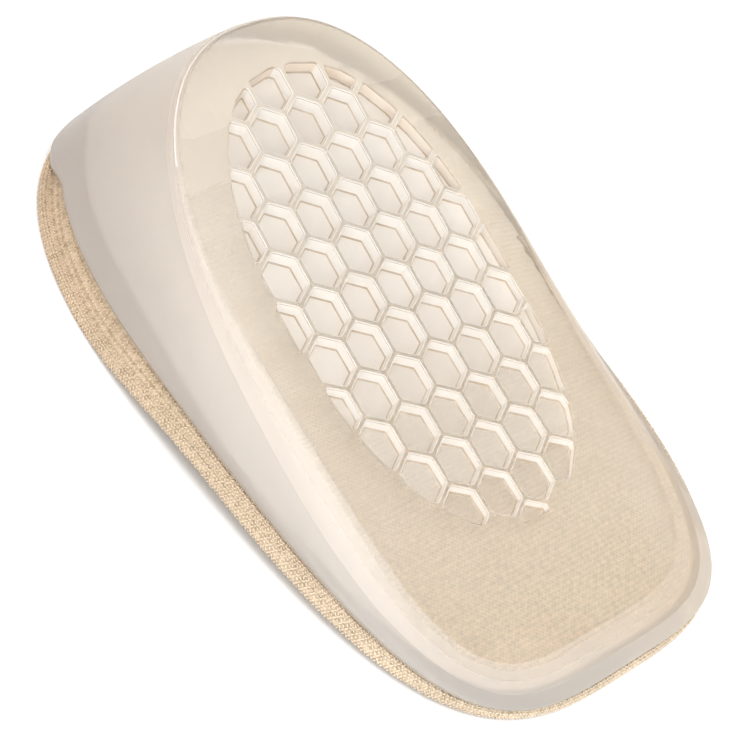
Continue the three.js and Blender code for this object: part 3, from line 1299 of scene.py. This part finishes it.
def mottle_group() -> bpy.types.NodeTree:
    """Shader group for uneven colour and shallow waves: soft noise from 0 to 1.

    Returns:
        The group's tree.
    """
    maker = Nodes.shader_group(
        "soft_mottle",
        (("Place", "NodeSocketVector", 0), ("Scale", "NodeSocketFloat", 100),
         ("Detail", "NodeSocketFloat", 2)),
        ("Cloud",))
    inside = maker.add("NodeGroupInput")
    outside = maker.add("NodeGroupOutput")
    noise = maker.add("ShaderNodeTexNoise")
    maker.link(inside.outputs["Place"], noise.inputs["Vector"])
    maker.link(inside.outputs["Scale"], noise.inputs["Scale"])
    maker.link(inside.outputs["Detail"], noise.inputs["Detail"])
    darkest, lightest = 0.3, 0.7
    spread = maker.add("ShaderNodeMapRange", **{"From Min": darkest, "From Max": lightest})
    maker.link(noise.outputs["Fac"], spread.inputs["Value"])
    maker.link(spread.outputs["Result"], outside.inputs["Cloud"])
    return maker.tree


def knit_group() -> bpy.types.NodeTree:
    """Shader group for a warp knit: zigzag rows of rounded yarn, as a height from 0 to 1.

    Returns:
        The group's tree.
    """
    maker = Nodes.shader_group(
        "zigzag_knit",
        (("Along", "NodeSocketFloat", 0), ("Across", "NodeSocketFloat", 0),
         ("Course", "NodeSocketFloat", 0.0007), ("Stitch", "NodeSocketFloat", 0.001)),
        ("Height",))
    inside = maker.add("NodeGroupInput")
    outside = maker.add("NodeGroupOutput")
    along = maker.math("DIVIDE", inside.outputs["Along"], inside.outputs["Stitch"])
    across = maker.math("DIVIDE", inside.outputs["Across"], inside.outputs["Course"])
    swing, roundness, loop_low = 0.8, 0.7, 0.65
    zigzag = maker.math("PINGPONG", along, 0.5)
    phase = maker.math("MULTIPLY_ADD", zigzag, swing, across)
    row = maker.math("PINGPONG", phase, 0.5)
    yarn = maker.math("POWER", maker.math("MULTIPLY", row, 2.0), roundness)
    bend = maker.math("ABSOLUTE", maker.math("SINE", maker.math("MULTIPLY", along, TURN)))
    loop = maker.math("MULTIPLY_ADD", bend, 1 - loop_low, loop_low)
    maker.link(maker.math("MULTIPLY", yarn, loop), outside.inputs["Height"])
    return maker.tree


@dataclass
class GelBody:
    """The clear gel wedge, with the honeycomb in its face.

    Args:
        shape: Sizes and surfaces of the cup.
        comb: The cells of the recess.
        steps: Steps round the body.
        contact: How far the gel's underside lies inside the cover that it is bonded to.
        spacing: Distance between the face's own points, outside the recess.
        guard_share: Share of the way to the face's edge that its own points keep within.
        guard_steps: Corners of the outline that they keep within.
        recess_guard: How many lip radii those points keep clear of the recess.
        oval_guard: How many drafts inside the recess's oval a cell's wall counts as inner.
        face_grades: Lengthwise places where the face grows clearer towards the front.
        floor_grades: Shares of the recess's length where the cells' floors change clearness.
        crease_highlight_angle: How far round from the heel the crease carries its painted
            highlight line, in degrees.
        clear_wall: Angles from the front where the wall starts to clear, is clearest, starts
            to fade and is milky again, in degrees.
        edge_steps: Rings of the rounded edge.
        wall_steps: Rings of the wall.
        foot_steps: Rings of the foot, and of the margin under it.
        seat_steps: Rings of the seat.
    """

    shape: CupShape
    comb: Honeycomb
    steps: int = 360
    contact: float = 0.1
    spacing: float = 1.3
    guard_share: float = 0.975
    guard_steps: int = 60
    recess_guard: float = 3.0
    oval_guard: float = 1.5
    face_grades: tuple[float, ...] = (-26.0, -20.0, -14.0, -8.0, -2.0, 4.0, 10.0)
    floor_grades: tuple[float, ...] = (0.18, 0.5, 0.62, 0.74, 0.86)
    crease_highlight_angle: float = 42.0
    clear_wall: tuple[float, float, float, float] = (25.0, 60.0, 130.0, 180.0)
    edge_steps: int = 9
    wall_steps: int = 24
    foot_steps: int = 5
    seat_steps: int = 22

    def build(self, shift: Vector, mottle: bpy.types.NodeTree) -> bpy.types.Object:
        """Makes the dressed gel body.

        Args:
            shift: Move from the cup's own middle to the frame's origin.
            mottle: The soft mottle's group.

        Returns:
            The finished object.
        """
        parts = MeshParts(shift)
        rim = parts.ring(lambda angle: self.shape.edge_point(angle, 0), self.steps)
        self.fill_face(parts, rim)
        self.add_sides(parts, rim)
        materials = [made for finish in GEL_FINISHES for made in finish.materials(mottle)]
        return parts.build("gel_wedge", materials)

    def fill_face(self, parts: MeshParts, rim: Sequence[int]) -> None:
        """Adds the face inside the rounded edge, with a pocket for each cell.

        Args:
            parts: The piece so far.
            rim: Vertices of the face's outer ring, which the parts hold first.
        """
        shape, comb = self.shape, self.comb
        plan = [shape.edge_point(TURN * i / self.steps, 0).xy for i in range(self.steps)]
        on_rim, on_margin = -1, -2
        owner = [on_rim] * len(plan)
        loops = [list(range(len(plan)))]
        pockets = []
        for cell in comb.cells(shape):
            ring = comb.rings(cell)
            if ring is None:
                continue
            outer = ring(-comb.lip)
            first = len(plan)
            plan.extend(outer)
            owner.extend([len(pockets)] * len(outer))
            loops.append(list(range(first, len(plan))))
            pockets.append((ring, loops[-1]))
        for point in self.margin_points(shape, comb):
            plan.append(point)
            owner.append(on_margin)
        edges = [(loop[i], loop[(i + 1) % len(loop)]) for loop in loops for i in range(len(loop))]
        found = delaunay_2d_cdt(plan, edges, [], 0, NO_LENGTH)
        index = {}
        for made, origins in enumerate(found[3]):
            for origin in origins:
                index[origin] = made
        back = {made: origin for origin, made in reversed(index.items())}
        vertex = {i: rim[i] for i in range(self.steps)}
        for i in range(self.steps, len(plan)):
            vertex[i] = parts.add(shape.on_face(plan[i].x, plan[i].y))
        for triangle in found[2]:
            corners = [back[made] for made in triangle]
            owners = {owner[corner] for corner in corners}
            if len(owners) == 1 and min(owners) >= 0:
                continue
            a, b, c = (plan[corner] for corner in corners)
            if area((a, b, c)) < 0:
                corners.reverse()
            grade = self.grade((a.x + b.x + c.x) / 3, self.face_grades)
            parts.face([vertex[corner] for corner in corners], gel_slot(GelZone.FACE, grade))
        for ring, loop in pockets:
            self.add_pocket(parts, ring, [vertex[i] for i in loop])

    def margin_points(self, shape: CupShape, comb: Honeycomb) -> list[Vector]:
        """Points spread over the face between the recess and the rounded edge.

        Args:
            shape: Sizes of the cup.
            comb: The recess.

        Returns:
            The points, in plan.
        """
        oval = comb.oval(shape, self.recess_guard * comb.lip)
        edge = [shape.edge_point(TURN * i / self.guard_steps, 0).xy * self.guard_share
                for i in range(self.guard_steps)]
        heel, front, half = shape.face.heel, shape.face.front, shape.face.half
        row_step = self.spacing * math.sqrt(3) / 2
        points = []
        for row in range(int(-heel / row_step), int(front / row_step) + 1):
            shifted = 0.5 if row % 2 else 0.0
            for column in range(int(-half / self.spacing) - 1, int(half / self.spacing) + 2):
                point = Vector((row * row_step, (column + shifted) * self.spacing))
                if inside(point, edge) and not inside(point, oval):
                    points.append(point)
        return points

    def add_pocket(self, parts: MeshParts, ring: Callable[[float], list[Vector]],
                   top: Sequence[int]) -> None:
        """Adds one cell: its rounded lip, leaning wall, fillet and floor.

        Args:
            parts: The piece so far.
            ring: The cell's rings by their depth inside it.
            top: Vertices of its outermost ring.
        """
        comb, shape = self.comb, self.shape
        steps = comb.round_steps
        levels = []
        for step in range(1, steps + 1):
            swing = step / steps * math.pi / 2
            # Painted highlight on the lip's upper steps, painted shade on its last step.
            zone = GelZone.RIB_CREST_HIGHLIGHT if step < steps else GelZone.RIB_SHADE
            levels.append((comb.lip * (math.sin(swing) - 1), comb.lip * (1 - math.cos(swing)), 0.0,
                           zone))
        for step in range(0, steps + 1):
            swing = step / steps * math.pi / 2
            # Painted shade on the fillet's steps; the wall above them is plain milky gel.
            zone = GelZone.RIB_SHADE if step else GelZone.CELL_WALL
            levels.append((comb.draft + comb.fillet * (1 - math.cos(swing)), 0.0,
                           comb.fillet * (1 - math.sin(swing)), zone))
        oval = comb.oval(shape, -self.oval_guard * comb.draft)
        # On the recess's outer side the lip takes the painted shade line, and the wall takes the
        # painted tan reflection.
        on_oval = {GelZone.CELL_WALL: GelZone.OVAL_WALL, GelZone.RIB_CREST_HIGHLIGHT: GelZone.RIB_SHADE}
        previous = list(top)
        before = ring(-comb.lip)
        for depth, below_face, above_floor, zone in levels:
            points = ring(depth)
            vertices = []
            for point in points:
                if below_face > 0:
                    height = shape.on_face(point.x, point.y).z - below_face
                else:
                    height = shape.floor_height(point.x) + above_floor
                vertices.append(parts.add(Vector((point.x, point.y, height))))
            for i, point in enumerate(before):
                j = (i + 1) % len(before)
                outermost = not (inside(point, oval) or inside(before[j], oval))
                slot = on_oval.get(zone, zone) if outermost else zone
                parts.face((vertices[i], previous[i], previous[j], vertices[j]), gel_slot(slot))
            previous, before = vertices, points
        middle = Vector((0, 0))
        for point in before:
            middle += point / len(before)
        centre = parts.add(Vector((middle.x, middle.y, shape.floor_height(middle.x))))
        heel, front = shape.recess_span
        along = (middle.x - heel) / (front - heel)
        slot = gel_slot(GelZone.CELL_FLOOR, self.grade(along, self.floor_grades))
        parts.fan(centre, previous, slot)

    @staticmethod
    def grade(value: float, limits: Sequence[float]) -> int:
        """How many of the rising limits a value has passed."""
        return sum(value > limit for limit in limits)

    def add_sides(self, parts: MeshParts, rim: Sequence[int]) -> None:
        """Adds everything below the face: rounded edge, wall, foot and seat.

        Args:
            parts: The piece so far.
            rim: Vertices of the face's outer ring.
        """
        shape = self.shape
        clearance = -self.contact
        shoulders = (GelZone.SHOULDER_HIGH, GelZone.SHOULDER_MIDDLE, GelZone.SHOULDER_LOW)
        highlighted = [abs(180 - self.turned(i)) < self.crease_highlight_angle for i in range(self.steps)]
        wall_slots = [gel_slot(GelZone.WALL, self.wall_grade(self.turned(i)))
                      for i in range(self.steps)]
        ring = list(rim)
        for step in range(1, self.edge_steps + 1):
            share = step / self.edge_steps
            slot = gel_slot(shoulders[min(int(share * len(shoulders)), len(shoulders) - 1)])
            # Painted highlight: the middle ring of the rounded edge is whitish round the heel.
            crease = gel_slot(GelZone.CREASE) if step == self.edge_steps // 2 else slot
            slots = [crease if bent else slot for bent in highlighted]
            ring = self.add_band(parts, ring, [share], shape.edge_point, slots)
        down = [step / self.wall_steps for step in range(1, self.wall_steps + 1)]
        ring = self.add_band(parts, ring, down, shape.wall_point, wall_slots)
        inwards = [step / self.foot_steps for step in range(self.foot_steps - 1, -1, -1)]
        ring = self.add_band(
            parts, ring, inwards,
            lambda angle, share: shape.foot_point(angle, share, clearance),
            gel_slot(GelZone.FOOT))
        underside = gel_slot(GelZone.UNDERSIDE)
        ring = self.add_band(
            parts, ring, inwards,
            lambda angle, share: shape.cover_offset(
                angle, lerp(1, shape.foot_share(angle), share), clearance),
            underside)
        seat = [step / self.seat_steps for step in range(self.seat_steps - 1, 0, -1)]
        ring = self.add_band(
            parts, ring, seat,
            lambda angle, share: shape.cover_offset(angle, share, clearance),
            underside)
        parts.fan(parts.add(shape.cover_centre(clearance)), ring, underside, flip=True)

    def add_band(self, parts: MeshParts, first: Sequence[int], shares: Sequence[float],
                 point_at: Callable[[float, float], Vector],
                 slots: int | Sequence[int]) -> list[int]:
        """Adds rings one after another, each joined to the one before.

        Args:
            parts: The piece so far.
            first: Ring that the band starts from.
            shares: Share of the way along the surface for each new ring.
            point_at: Point of the surface at an angle and a share.
            slots: Material slot of the band, or of each step round it.

        Returns:
            The last ring.
        """
        before = list(first)
        for share in shares:
            after = parts.ring(lambda angle: point_at(angle, share), self.steps)
            parts.bridge(before, after, slots)
            before = after
        return before

    def turned(self, step: int) -> float:
        """Angle of the middle of a step round the body, in degrees."""
        return 360 * (step + 0.5) / self.steps

    def wall_grade(self, angle: float) -> int:
        """Grade of the wall, clearest on the side away from the key light.

        Args:
            angle: Angle round the cup, in degrees.

        Returns:
            The grade.
        """
        start, full, fade, end = self.clear_wall
        clear = smoothstep(angle, start, full) * (1 - smoothstep(angle, fade, end))
        return round((len(WALL_CLEARNESS) - 1) * clear)


def inside(point: Vector, polygon: Sequence[Vector]) -> bool:
    """Whether a point lies inside a convex polygon that runs anticlockwise.

    Args:
        point: The point.
        polygon: Corners of the polygon.

    Returns:
        True inside or on its side.
    """
    for i, start in enumerate(polygon):
        along = polygon[(i + 1) % len(polygon)] - start
        away = point - start
        if along.x * away.y - along.y * away.x < 0:
            return False
    return True


@dataclass
class KnitCover:
    """The knitted cover, one layer from the seat over its edge and out to the rim.

    Args:
        shape: Sizes and surfaces of the cup.
        steps: Steps round the cover.
        seat_steps: Rings of the seat.
        margin_steps: Rings of the margin.
        clear_gel: Thickness of gel up to which the knit shows plainly.
        milky_gel: Thickness of gel at which it blurs the knit away.
        glare_across: Widthwise places between which a painted highlight pales the knit on the
            front's side.
        glare_along: Lengthwise places between which it does.
        glare: How strongly that painted highlight shows there.
        glare: How milky it grows there.
        foot_blur: Share of the margin over which the look of gel ends at its foot.
        edge_shares: Shares of the way down the cut edge that have a ring.
        flat_steps: Steps round the layer when its area is worked out.
        flat_rings: Rings of the seat, and of the margin, when its area is worked out.
    """

    shape: CupShape
    steps: int = 320
    seat_steps: int = 26
    margin_steps: int = 14
    clear_gel: float = 1.0
    milky_gel: float = 6.5
    glare_across: tuple[float, float] = (12.0, 24.0)
    glare_along: tuple[float, float] = (4.0, 22.0)
    glare: float = 0.7
    foot_blur: float = 0.05
    edge_shares: tuple[float, ...] = (0.25, 0.5, 0.75)
    flat_steps: int = 90
    flat_rings: int = 20

    def build(self, shift: Vector, material: bpy.types.Material) -> bpy.types.Object:
        """Makes the dressed cover.

        Args:
            shift: Move from the cup's own middle to the frame's origin.
            material: Material of the knit.

        Returns:
            The finished object.
        """
        shape = self.shape
        parts = MeshParts(shift)
        around = self.lengths_round()
        shares = [(i + 1) / self.seat_steps for i in range(self.seat_steps)]
        shares += [1 + (i + 1) / self.margin_steps for i in range(self.margin_steps)]
        thick = shape.cover_thickness
        values = {"around": 0.0, "across": 0.0, "bare": 0.0}
        top = parts.add(shape.cover_centre(0), haze=self.haze(shape.cover_centre(0)), **values)
        upper = [self.ring(parts, share, 0, around) for share in shares]
        edge = []
        for down in self.edge_shares:
            edge.append(self.edge_ring(parts, down, around))
        lower = [self.ring(parts, share, thick, around) for share in reversed(shares)]
        bottom = parts.add(shape.cover_centre(-thick), haze=0.0, **values)
        rings = upper + edge + lower
        parts.fan(top, rings[0])
        for i in range(len(rings) - 1):
            parts.bridge(rings[i], rings[i + 1])
        parts.fan(bottom, rings[-1], flip=True)
        return parts.build("knit_cover", [material])

    def lengths_round(self) -> list[float]:
        """Length along the rim from the front's middle to each step, the same on both sides.

        Returns:
            The lengths, in metres.
        """
        points = [self.shape.cover.point(TURN * i / self.steps) for i in range(self.steps + 1)]
        total = [0.0]
        for before, after in zip(points, points[1:]):
            total.append(total[-1] + (after - before).length)
        return [min(length, total[-1] - length) * MM for length in total[:-1]]

    def ring(self, parts: MeshParts, share: float, thick: float,
             around: Sequence[float]) -> list[int]:
        """Adds one ring of the cover, on its upper or its lower side.

        Args:
            parts: The piece so far.
            share: Share of the way out.
            thick: Depth below the upper side, 0 on it.
            around: Length along the rim at each step.

        Returns:
            Vertices of the ring.
        """
        shape = self.shape
        strip = 2 - shape.rim_strip
        made = []
        for step in range(self.steps):
            angle = TURN * step / self.steps
            point = shape.cover_point(angle, share)
            if thick and share < strip:
                point = shape.cover_offset(angle, share, -thick)
            elif thick:
                point.z = shape.rim_height(point.x)
            width = (shape.cover.point(angle) - shape.seat.point(angle)).length
            foot = shape.foot_share(angle)
            covered = 1 - smoothstep(share, foot - self.foot_blur, foot + self.foot_blur)
            made.append(parts.add(point, around=around[step], across=(2 - share) * width * MM,
                                  bare=smoothstep(share, 1.0, 1.0 + self.foot_blur),
                                  haze=0.0 if thick else covered * self.haze(point)))
        return made

    def haze(self, point: Vector) -> float:
        """How milky the gel over a place looks from its thickness there, with a painted highlight
        at one side.

        Args:
            point: Place on the cover.

        Returns:
            Milkiness with the painted highlight, from 0 to 1.
        """
        gel = self.shape.on_face(point.x, point.y).z - point.z
        # Painted highlight: a pale patch on the front's side, where the gel shows a lamp's
        # reflection.
        glare = smoothstep(point.y, *self.glare_across) * smoothstep(point.x, *self.glare_along)
        return max(smoothstep(gel, self.clear_gel, self.milky_gel), self.glare * glare)

    def edge_ring(self, parts: MeshParts, down: float, around: Sequence[float]) -> list[int]:
        """Adds one ring of the rim's cut edge, part of the way down it.

        Args:
            parts: The piece so far.
            down: Share of the way down.
            around: Length along the rim at each step.

        Returns:
            Vertices of the ring.
        """
        shape = self.shape
        made = []
        for step in range(self.steps):
            angle = TURN * step / self.steps
            point = shape.cut_edge_point(angle, down)
            made.append(parts.add(point, around=around[step],
                                  across=-down * shape.cover_thickness * MM, bare=1.0,
                                  haze=0.0))
        return made

    def flat_area(self) -> float:
        """Area of the layer before it was stretched, in square metres.

        Returns:
            The area.
        """
        shape, steps = self.shape, self.flat_steps
        half = shape.cover_thickness / 2
        rings = [[shape.cover_offset(TURN * i / steps, share, -half) for i in range(steps)]
                 for share in (k / self.flat_rings for k in range(1, 2 * self.flat_rings + 1))]
        total = 0.0
        for inner, outer in zip(rings, rings[1:]):
            for i in range(steps):
                j = (i + 1) % steps
                total += (outer[i] - inner[j]).cross(outer[j] - inner[i]).length / 2
        return total * MM * MM


class GeometryTree:
    """Short calls for making a Geometry Nodes tree."""

    def __init__(self, name: str, inputs: Sequence[tuple[str, str, object]]) -> None:
        """Starts a tree from one mesh to another.

        Args:
            name: Name of the tree.
            inputs: Name, socket type and value of each input after the mesh.
        """
        self.tree = bpy.data.node_groups.new(name, "GeometryNodeTree")
        self.tree.interface.new_socket("Guide", in_out="INPUT",
                                       socket_type="NodeSocketGeometry")
        self.tree.interface.new_socket("Mesh", in_out="OUTPUT",
                                       socket_type="NodeSocketGeometry")
        self.values = {}
        for title, kind, value in inputs:
            socket = self.tree.interface.new_socket(title, in_out="INPUT", socket_type=kind)
            self.values[socket.identifier] = value
        self.inputs = self.add("NodeGroupInput").outputs
        self.result = self.add("NodeGroupOutput").inputs["Mesh"]

    def add(self, kind: str, links: dict | None = None, **settings: object) -> bpy.types.Node:
        """Adds a node, sets its properties, and links or sets its inputs.

        Args:
            kind: Type of the node.
            links: A socket or a value for each input, by name or by index.
            settings: Properties of the node itself.

        Returns:
            The node.
        """
        node = self.tree.nodes.new(kind)
        for name, value in settings.items():
            setattr(node, name, value)
        for key, source in (links or {}).items():
            if isinstance(source, bpy.types.NodeSocket):
                self.tree.links.new(source, node.inputs[key])
            else:
                node.inputs[key].default_value = source
        return node

    def apply(self, guide: bpy.types.Object, name: str) -> bpy.types.Object:
        """Runs the tree on a guide and returns the result as a plain mesh object.

        Args:
            guide: Mesh that the tree starts from.
            name: Name of the result.

        Returns:
            The finished object.
        """
        modifier = guide.modifiers.new(name, "NODES")
        modifier.node_group = self.tree
        for identifier, value in self.values.items():
            modifier[identifier] = value
        evaluated = guide.evaluated_get(bpy.context.evaluated_depsgraph_get())
        mesh = bpy.data.meshes.new_from_object(evaluated)
        guide.modifiers.remove(modifier)
        bpy.data.objects.remove(guide)
        made = bpy.data.objects.new(name, mesh)
        bpy.context.scene.collection.objects.link(made)
        LOG.info("%s: %d faces", name, len(mesh.polygons))
        return made


@dataclass
class MarginStitches:
    """Raised stitches of the knit on its bare margin and cut edge, in rows along the rim.

    Args:
        shape: Sizes and surfaces of the cup.
        row: Distance between rows, in millimetres.
        rows: Rows on the margin; those under the gel are left out.
        edge_rows: Rows on the cut edge.
        steps: Steps of a guide round the rim.
        spacing: Distance between stitches along a row, in metres.
        stitch: Length, width and height of a stitch, in metres.
        lean: Angle by which stitches lean to either side of their row, in degrees.
        spread: Smallest and largest share of its size and lean that a stitch may have.
        gel_gap: Gap that a row keeps from the gel's foot, as a share of a row.
        seed: Seed of the small differences between stitches.
    """

    shape: CupShape
    row: float = 0.42
    rows: int = 11
    edge_rows: int = 3
    steps: int = 480
    spacing: float = 0.00044
    stitch: tuple[float, float, float] = (0.00056, 0.00020, 0.00020)
    lean: float = 44.0
    spread: tuple[float, float] = (0.75, 1.2)
    gel_gap: float = 0.3
    seed: int = 7

    def guide(self, shift: Vector) -> bpy.types.Object:
        """Lines along the rows, with the way out of the surface at each of their points.

        Args:
            shift: Move from the cup's own middle to the frame's origin.

        Returns:
            The lines, as a mesh of edges.
        """
        points, edges, outwards = [], [], []
        for row in range(self.rows + self.edge_rows):
            first, before = len(points), None
            for step in range(self.steps):
                placed = self.margin_point(step, row) if row < self.rows else \
                    self.edge_point(step, row - self.rows)
                if placed is None:
                    before = None
                    continue
                point, outward = placed
                points.append((point + shift) * MM)
                outwards.extend(outward)
                if before is not None:
                    edges.append((before, len(points) - 1))
                before = len(points) - 1
            if len(points) - first == self.steps:
                edges.append((before, first))
        mesh = bpy.data.meshes.new("stitch_rows")
        mesh.from_pydata(points, edges, [])
        mesh.attributes.new("outward", "FLOAT_VECTOR", "POINT").data.foreach_set(
            "vector", outwards)
        made = bpy.data.objects.new("stitch_rows", mesh)
        bpy.context.scene.collection.objects.link(made)
        return made

    def margin_point(self, step: int, row: int) -> tuple[Vector, Vector] | None:
        """Point and outward direction of a row on the margin, or None under the gel.

        Args:
            step: Step round the rim.
            row: The row.

        Returns:
            The point and direction, or None.
        """
        shape = self.shape
        angle = TURN * step / self.steps
        width = (shape.cover.point(angle) - shape.seat.point(angle)).length
        share = 2 - (row + 0.5) * self.row / width
        if share < shape.foot_share(angle) + self.gel_gap * self.row / width:
            return None
        return shape.cover_point(angle, share), shape.cover_normal(angle, share)

    def edge_point(self, step: int, row: int) -> tuple[Vector, Vector]:
        """Point and outward direction of a row on the cut edge.

        Args:
            step: Step round the rim.
            row: The row.

        Returns:
            The point and direction.
        """
        angle = TURN * step / self.steps
        outward = Vector((math.cos(angle), math.sin(angle), 0))
        return self.shape.cut_edge_point(angle, (row + 0.5) / self.edge_rows), outward

    def tree(self, material: bpy.types.Material) -> GeometryTree:
        """Geometry Nodes tree that sets leaning stitches along the guide's lines.

        Args:
            material: Material of the stitches.

        Returns:
            The tree.
        """
        made = GeometryTree("margin_stitches", (
            ("Spacing", "NodeSocketFloat", self.spacing),
            ("Stitch", "NodeSocketVector", [size / 2 for size in self.stitch]),
            ("Lean", "NodeSocketFloat", math.radians(self.lean)),
            ("Seed", "NodeSocketInt", self.seed),
        ))
        inputs = made.inputs
        lines = made.add("GeometryNodeMeshToCurve", {"Mesh": inputs["Guide"]})
        beads = made.add("GeometryNodeResampleCurve", {
            "Curve": lines.outputs["Curve"], "Length": inputs["Spacing"]}, mode="LENGTH")
        outward = made.add("GeometryNodeInputNamedAttribute", {"Name": "outward"},
                           data_type="FLOAT_VECTOR")
        tangent = made.add("GeometryNodeInputTangent")
        upright = made.add("FunctionNodeAlignRotationToVector", {
            "Vector": outward.outputs["Attribute"]}, axis="Z")
        along = made.add("FunctionNodeAlignRotationToVector", {
            "Rotation": upright.outputs["Rotation"], "Vector": tangent.outputs["Tangent"]},
            axis="X", pivot_axis="Z")
        index = made.add("GeometryNodeInputIndex")
        odd = made.add("ShaderNodeMath", {0: index.outputs["Index"], 1: 2.0}, operation="MODULO")
        side = made.add("ShaderNodeMath", {0: odd.outputs[0], 1: 2.0, 2: -1.0},
                        operation="MULTIPLY_ADD")
        chance = made.add("FunctionNodeRandomValue", {
            2: self.spread[0], 3: self.spread[1], "Seed": inputs["Seed"]}, data_type="FLOAT")
        lean = made.add("ShaderNodeMath", {0: side.outputs[0], 1: inputs["Lean"]},
                        operation="MULTIPLY")
        turn = made.add("ShaderNodeMath", {0: lean.outputs[0], 1: chance.outputs[1]},
                        operation="MULTIPLY")
        euler = made.add("ShaderNodeCombineXYZ", {"Z": turn.outputs[0]})
        ball = made.add("GeometryNodeMeshIcoSphere", {"Radius": 1.0, "Subdivisions": 1})
        stitch = made.add("GeometryNodeTransform", {
            "Geometry": ball.outputs["Mesh"], "Scale": inputs["Stitch"]})
        placed = made.add("GeometryNodeInstanceOnPoints", {
            "Points": beads.outputs["Curve"], "Instance": stitch.outputs["Geometry"],
            "Rotation": along.outputs["Rotation"], "Scale": chance.outputs[1]})
        leaning = made.add("GeometryNodeRotateInstances", {
            "Instances": placed.outputs["Instances"], "Rotation": euler.outputs[0]})
        real = made.add("GeometryNodeRealizeInstances", {
            "Geometry": leaning.outputs["Instances"]})
        soft = made.add("GeometryNodeSetShadeSmooth", {"Geometry": real.outputs["Geometry"]})
        dressed = made.add("GeometryNodeSetMaterial", {
            "Geometry": soft.outputs["Geometry"], "Material": material})
        made.tree.links.new(dressed.outputs["Geometry"], made.result)
        return made

    def build(self, shift: Vector, material: bpy.types.Material) -> bpy.types.Object:
        """Makes the dressed stitches as one plain mesh."""
        return self.tree(material).apply(self.guide(shift), "margin_stitches")


@dataclass(frozen=True)
class SoftLight:
    """A square studio light.

    Args:
        name: Name of the light.
        place: Its place, in metres.
        size: Its side, in metres.
        power: Its power, in watts.
        colour: Its colour.
    """

    name: str
    place: tuple[float, float, float]
    size: float
    power: float
    colour: Colour = (1.0, 1.0, 1.0)

    def build(self) -> None:
        """Adds the light, turned towards the cup."""
        data = bpy.data.lights.new(self.name, "AREA")
        data.shape = "SQUARE"
        data.size = self.size
        data.energy = self.power
        data.color = self.colour
        lamp = bpy.data.objects.new(self.name, data)
        lamp.location = self.place
        lamp.rotation_euler = (-Vector(self.place)).to_track_quat("-Z", "Y").to_euler()
        bpy.context.scene.collection.objects.link(lamp)


@dataclass(frozen=True)
class PhotoCamera:
    """Camera that looks at the cup from the photograph's angle.

    Args:
        place: Its place, in millimetres.
        right: Direction to the right of its picture.
        up: Direction to the top of its picture.
        back: Direction from the cup to the camera.
        sensor: Width of its sensor, in millimetres.
        lens: Focal length, in millimetres.
        clip: Nearest and farthest distance that it sees, in metres.
    """

    place: tuple[float, float, float] = (80.776, -207.08, 188.046)
    right: tuple[float, float, float] = (0.61904, 0.6462, 0.4464)
    up: tuple[float, float, float] = (-0.73427, 0.2745, 0.62084)
    back: tuple[float, float, float] = (0.27865, -0.7121, 0.64436)
    sensor: float = 36.0
    lens: float = 119.97
    clip: tuple[float, float] = (0.01, 10.0)

    def build(self) -> None:
        """Adds the camera and makes it the scene's own."""
        data = bpy.data.cameras.new("camera")
        data.sensor_width = self.sensor
        data.lens = self.lens
        data.clip_start, data.clip_end = self.clip
        camera = bpy.data.objects.new("camera", data)
        turned = Matrix((self.right, self.up, self.back)).transposed().to_4x4()
        camera.matrix_world = Matrix.Translation(Vector(self.place) * MM) @ turned
        bpy.context.scene.collection.objects.link(camera)
        bpy.context.scene.camera = camera


@dataclass
class Studio:
    """Pale floor, soft lights and the camera.

    Args:
        lights: The lights.
        camera: The camera.
        floor_reach: Half the floor's side, in metres.
        floor_colour: Colour of the floor.
        sky: Strength of the even light from all round.
    """

    lights: tuple[SoftLight, ...] = (
        SoftLight("key", (0.15, -0.9, 0.36), 0.5, 3.4),
        SoftLight("top", (0.05, -0.1, 1.0), 0.7, 5.0),
        SoftLight("front", (0.9, -0.2, 0.35), 0.5, 2.4),
    )
    camera: PhotoCamera = PhotoCamera()
    floor_reach: float = 3.0
    floor_colour: Colour = (0.93, 0.93, 0.93)
    sky: float = 0.85

    def build(self) -> None:
        """Builds the studio round the cup."""
        self.add_floor()
        self.add_sky()
        for light in self.lights:
            light.build()
        self.camera.build()
        bpy.context.scene.view_settings.view_transform = "Standard"

    def add_floor(self) -> None:
        """Adds the plain pale floor."""
        reach = self.floor_reach
        mesh = bpy.data.meshes.new("floor")
        mesh.from_pydata([(-reach, -reach, 0), (reach, -reach, 0), (reach, reach, 0),
                          (-reach, reach, 0)], [], [(0, 1, 2, 3)])
        maker = Nodes.material("floor_paper")
        maker.principled(**{"Base Color": (*self.floor_colour, 1), "Roughness": 0.9,
                            "Specular IOR Level": 0.1})
        mesh.materials.append(maker.tree_owner)
        floor = bpy.data.objects.new("floor", mesh)
        bpy.context.scene.collection.objects.link(floor)

    def add_sky(self) -> None:
        """Adds the even white light from all round."""
        world = bpy.data.worlds.new("studio")
        world.use_nodes = True
        back = world.node_tree.nodes["Background"]
        back.inputs["Color"].default_value = (1, 1, 1, 1)
        back.inputs["Strength"].default_value = self.sky
        bpy.context.scene.world = world


def main() -> None:
    """Builds the cup in order, and then the studio."""
    logging.basicConfig(level=logging.INFO, format="%(name)s: %(message)s")
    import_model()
    shape = CupShape()
    shift = Vector((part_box("fabric_cover")[1].x / MM - shape.cover.front, 0, 0))
    mottle, knit = mottle_group(), knit_group()

    gel = GelBody(shape, Honeycomb()).build(shift, mottle)
    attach(gel, "root")
    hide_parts("gel_body")

    finish = KnitFinish()
    cover_maker = KnitCover(shape)
    cover = cover_maker.build(shift, finish.material(knit, mottle))
    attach(cover, "root")
    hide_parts("fabric_cover")

    stitches = MarginStitches(shape).build(shift, finish.stitch_material(mottle))
    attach(stitches, "root")
    cover_maker.flat_area()

    Studio().build()


if __name__ == "__main__":
    main()
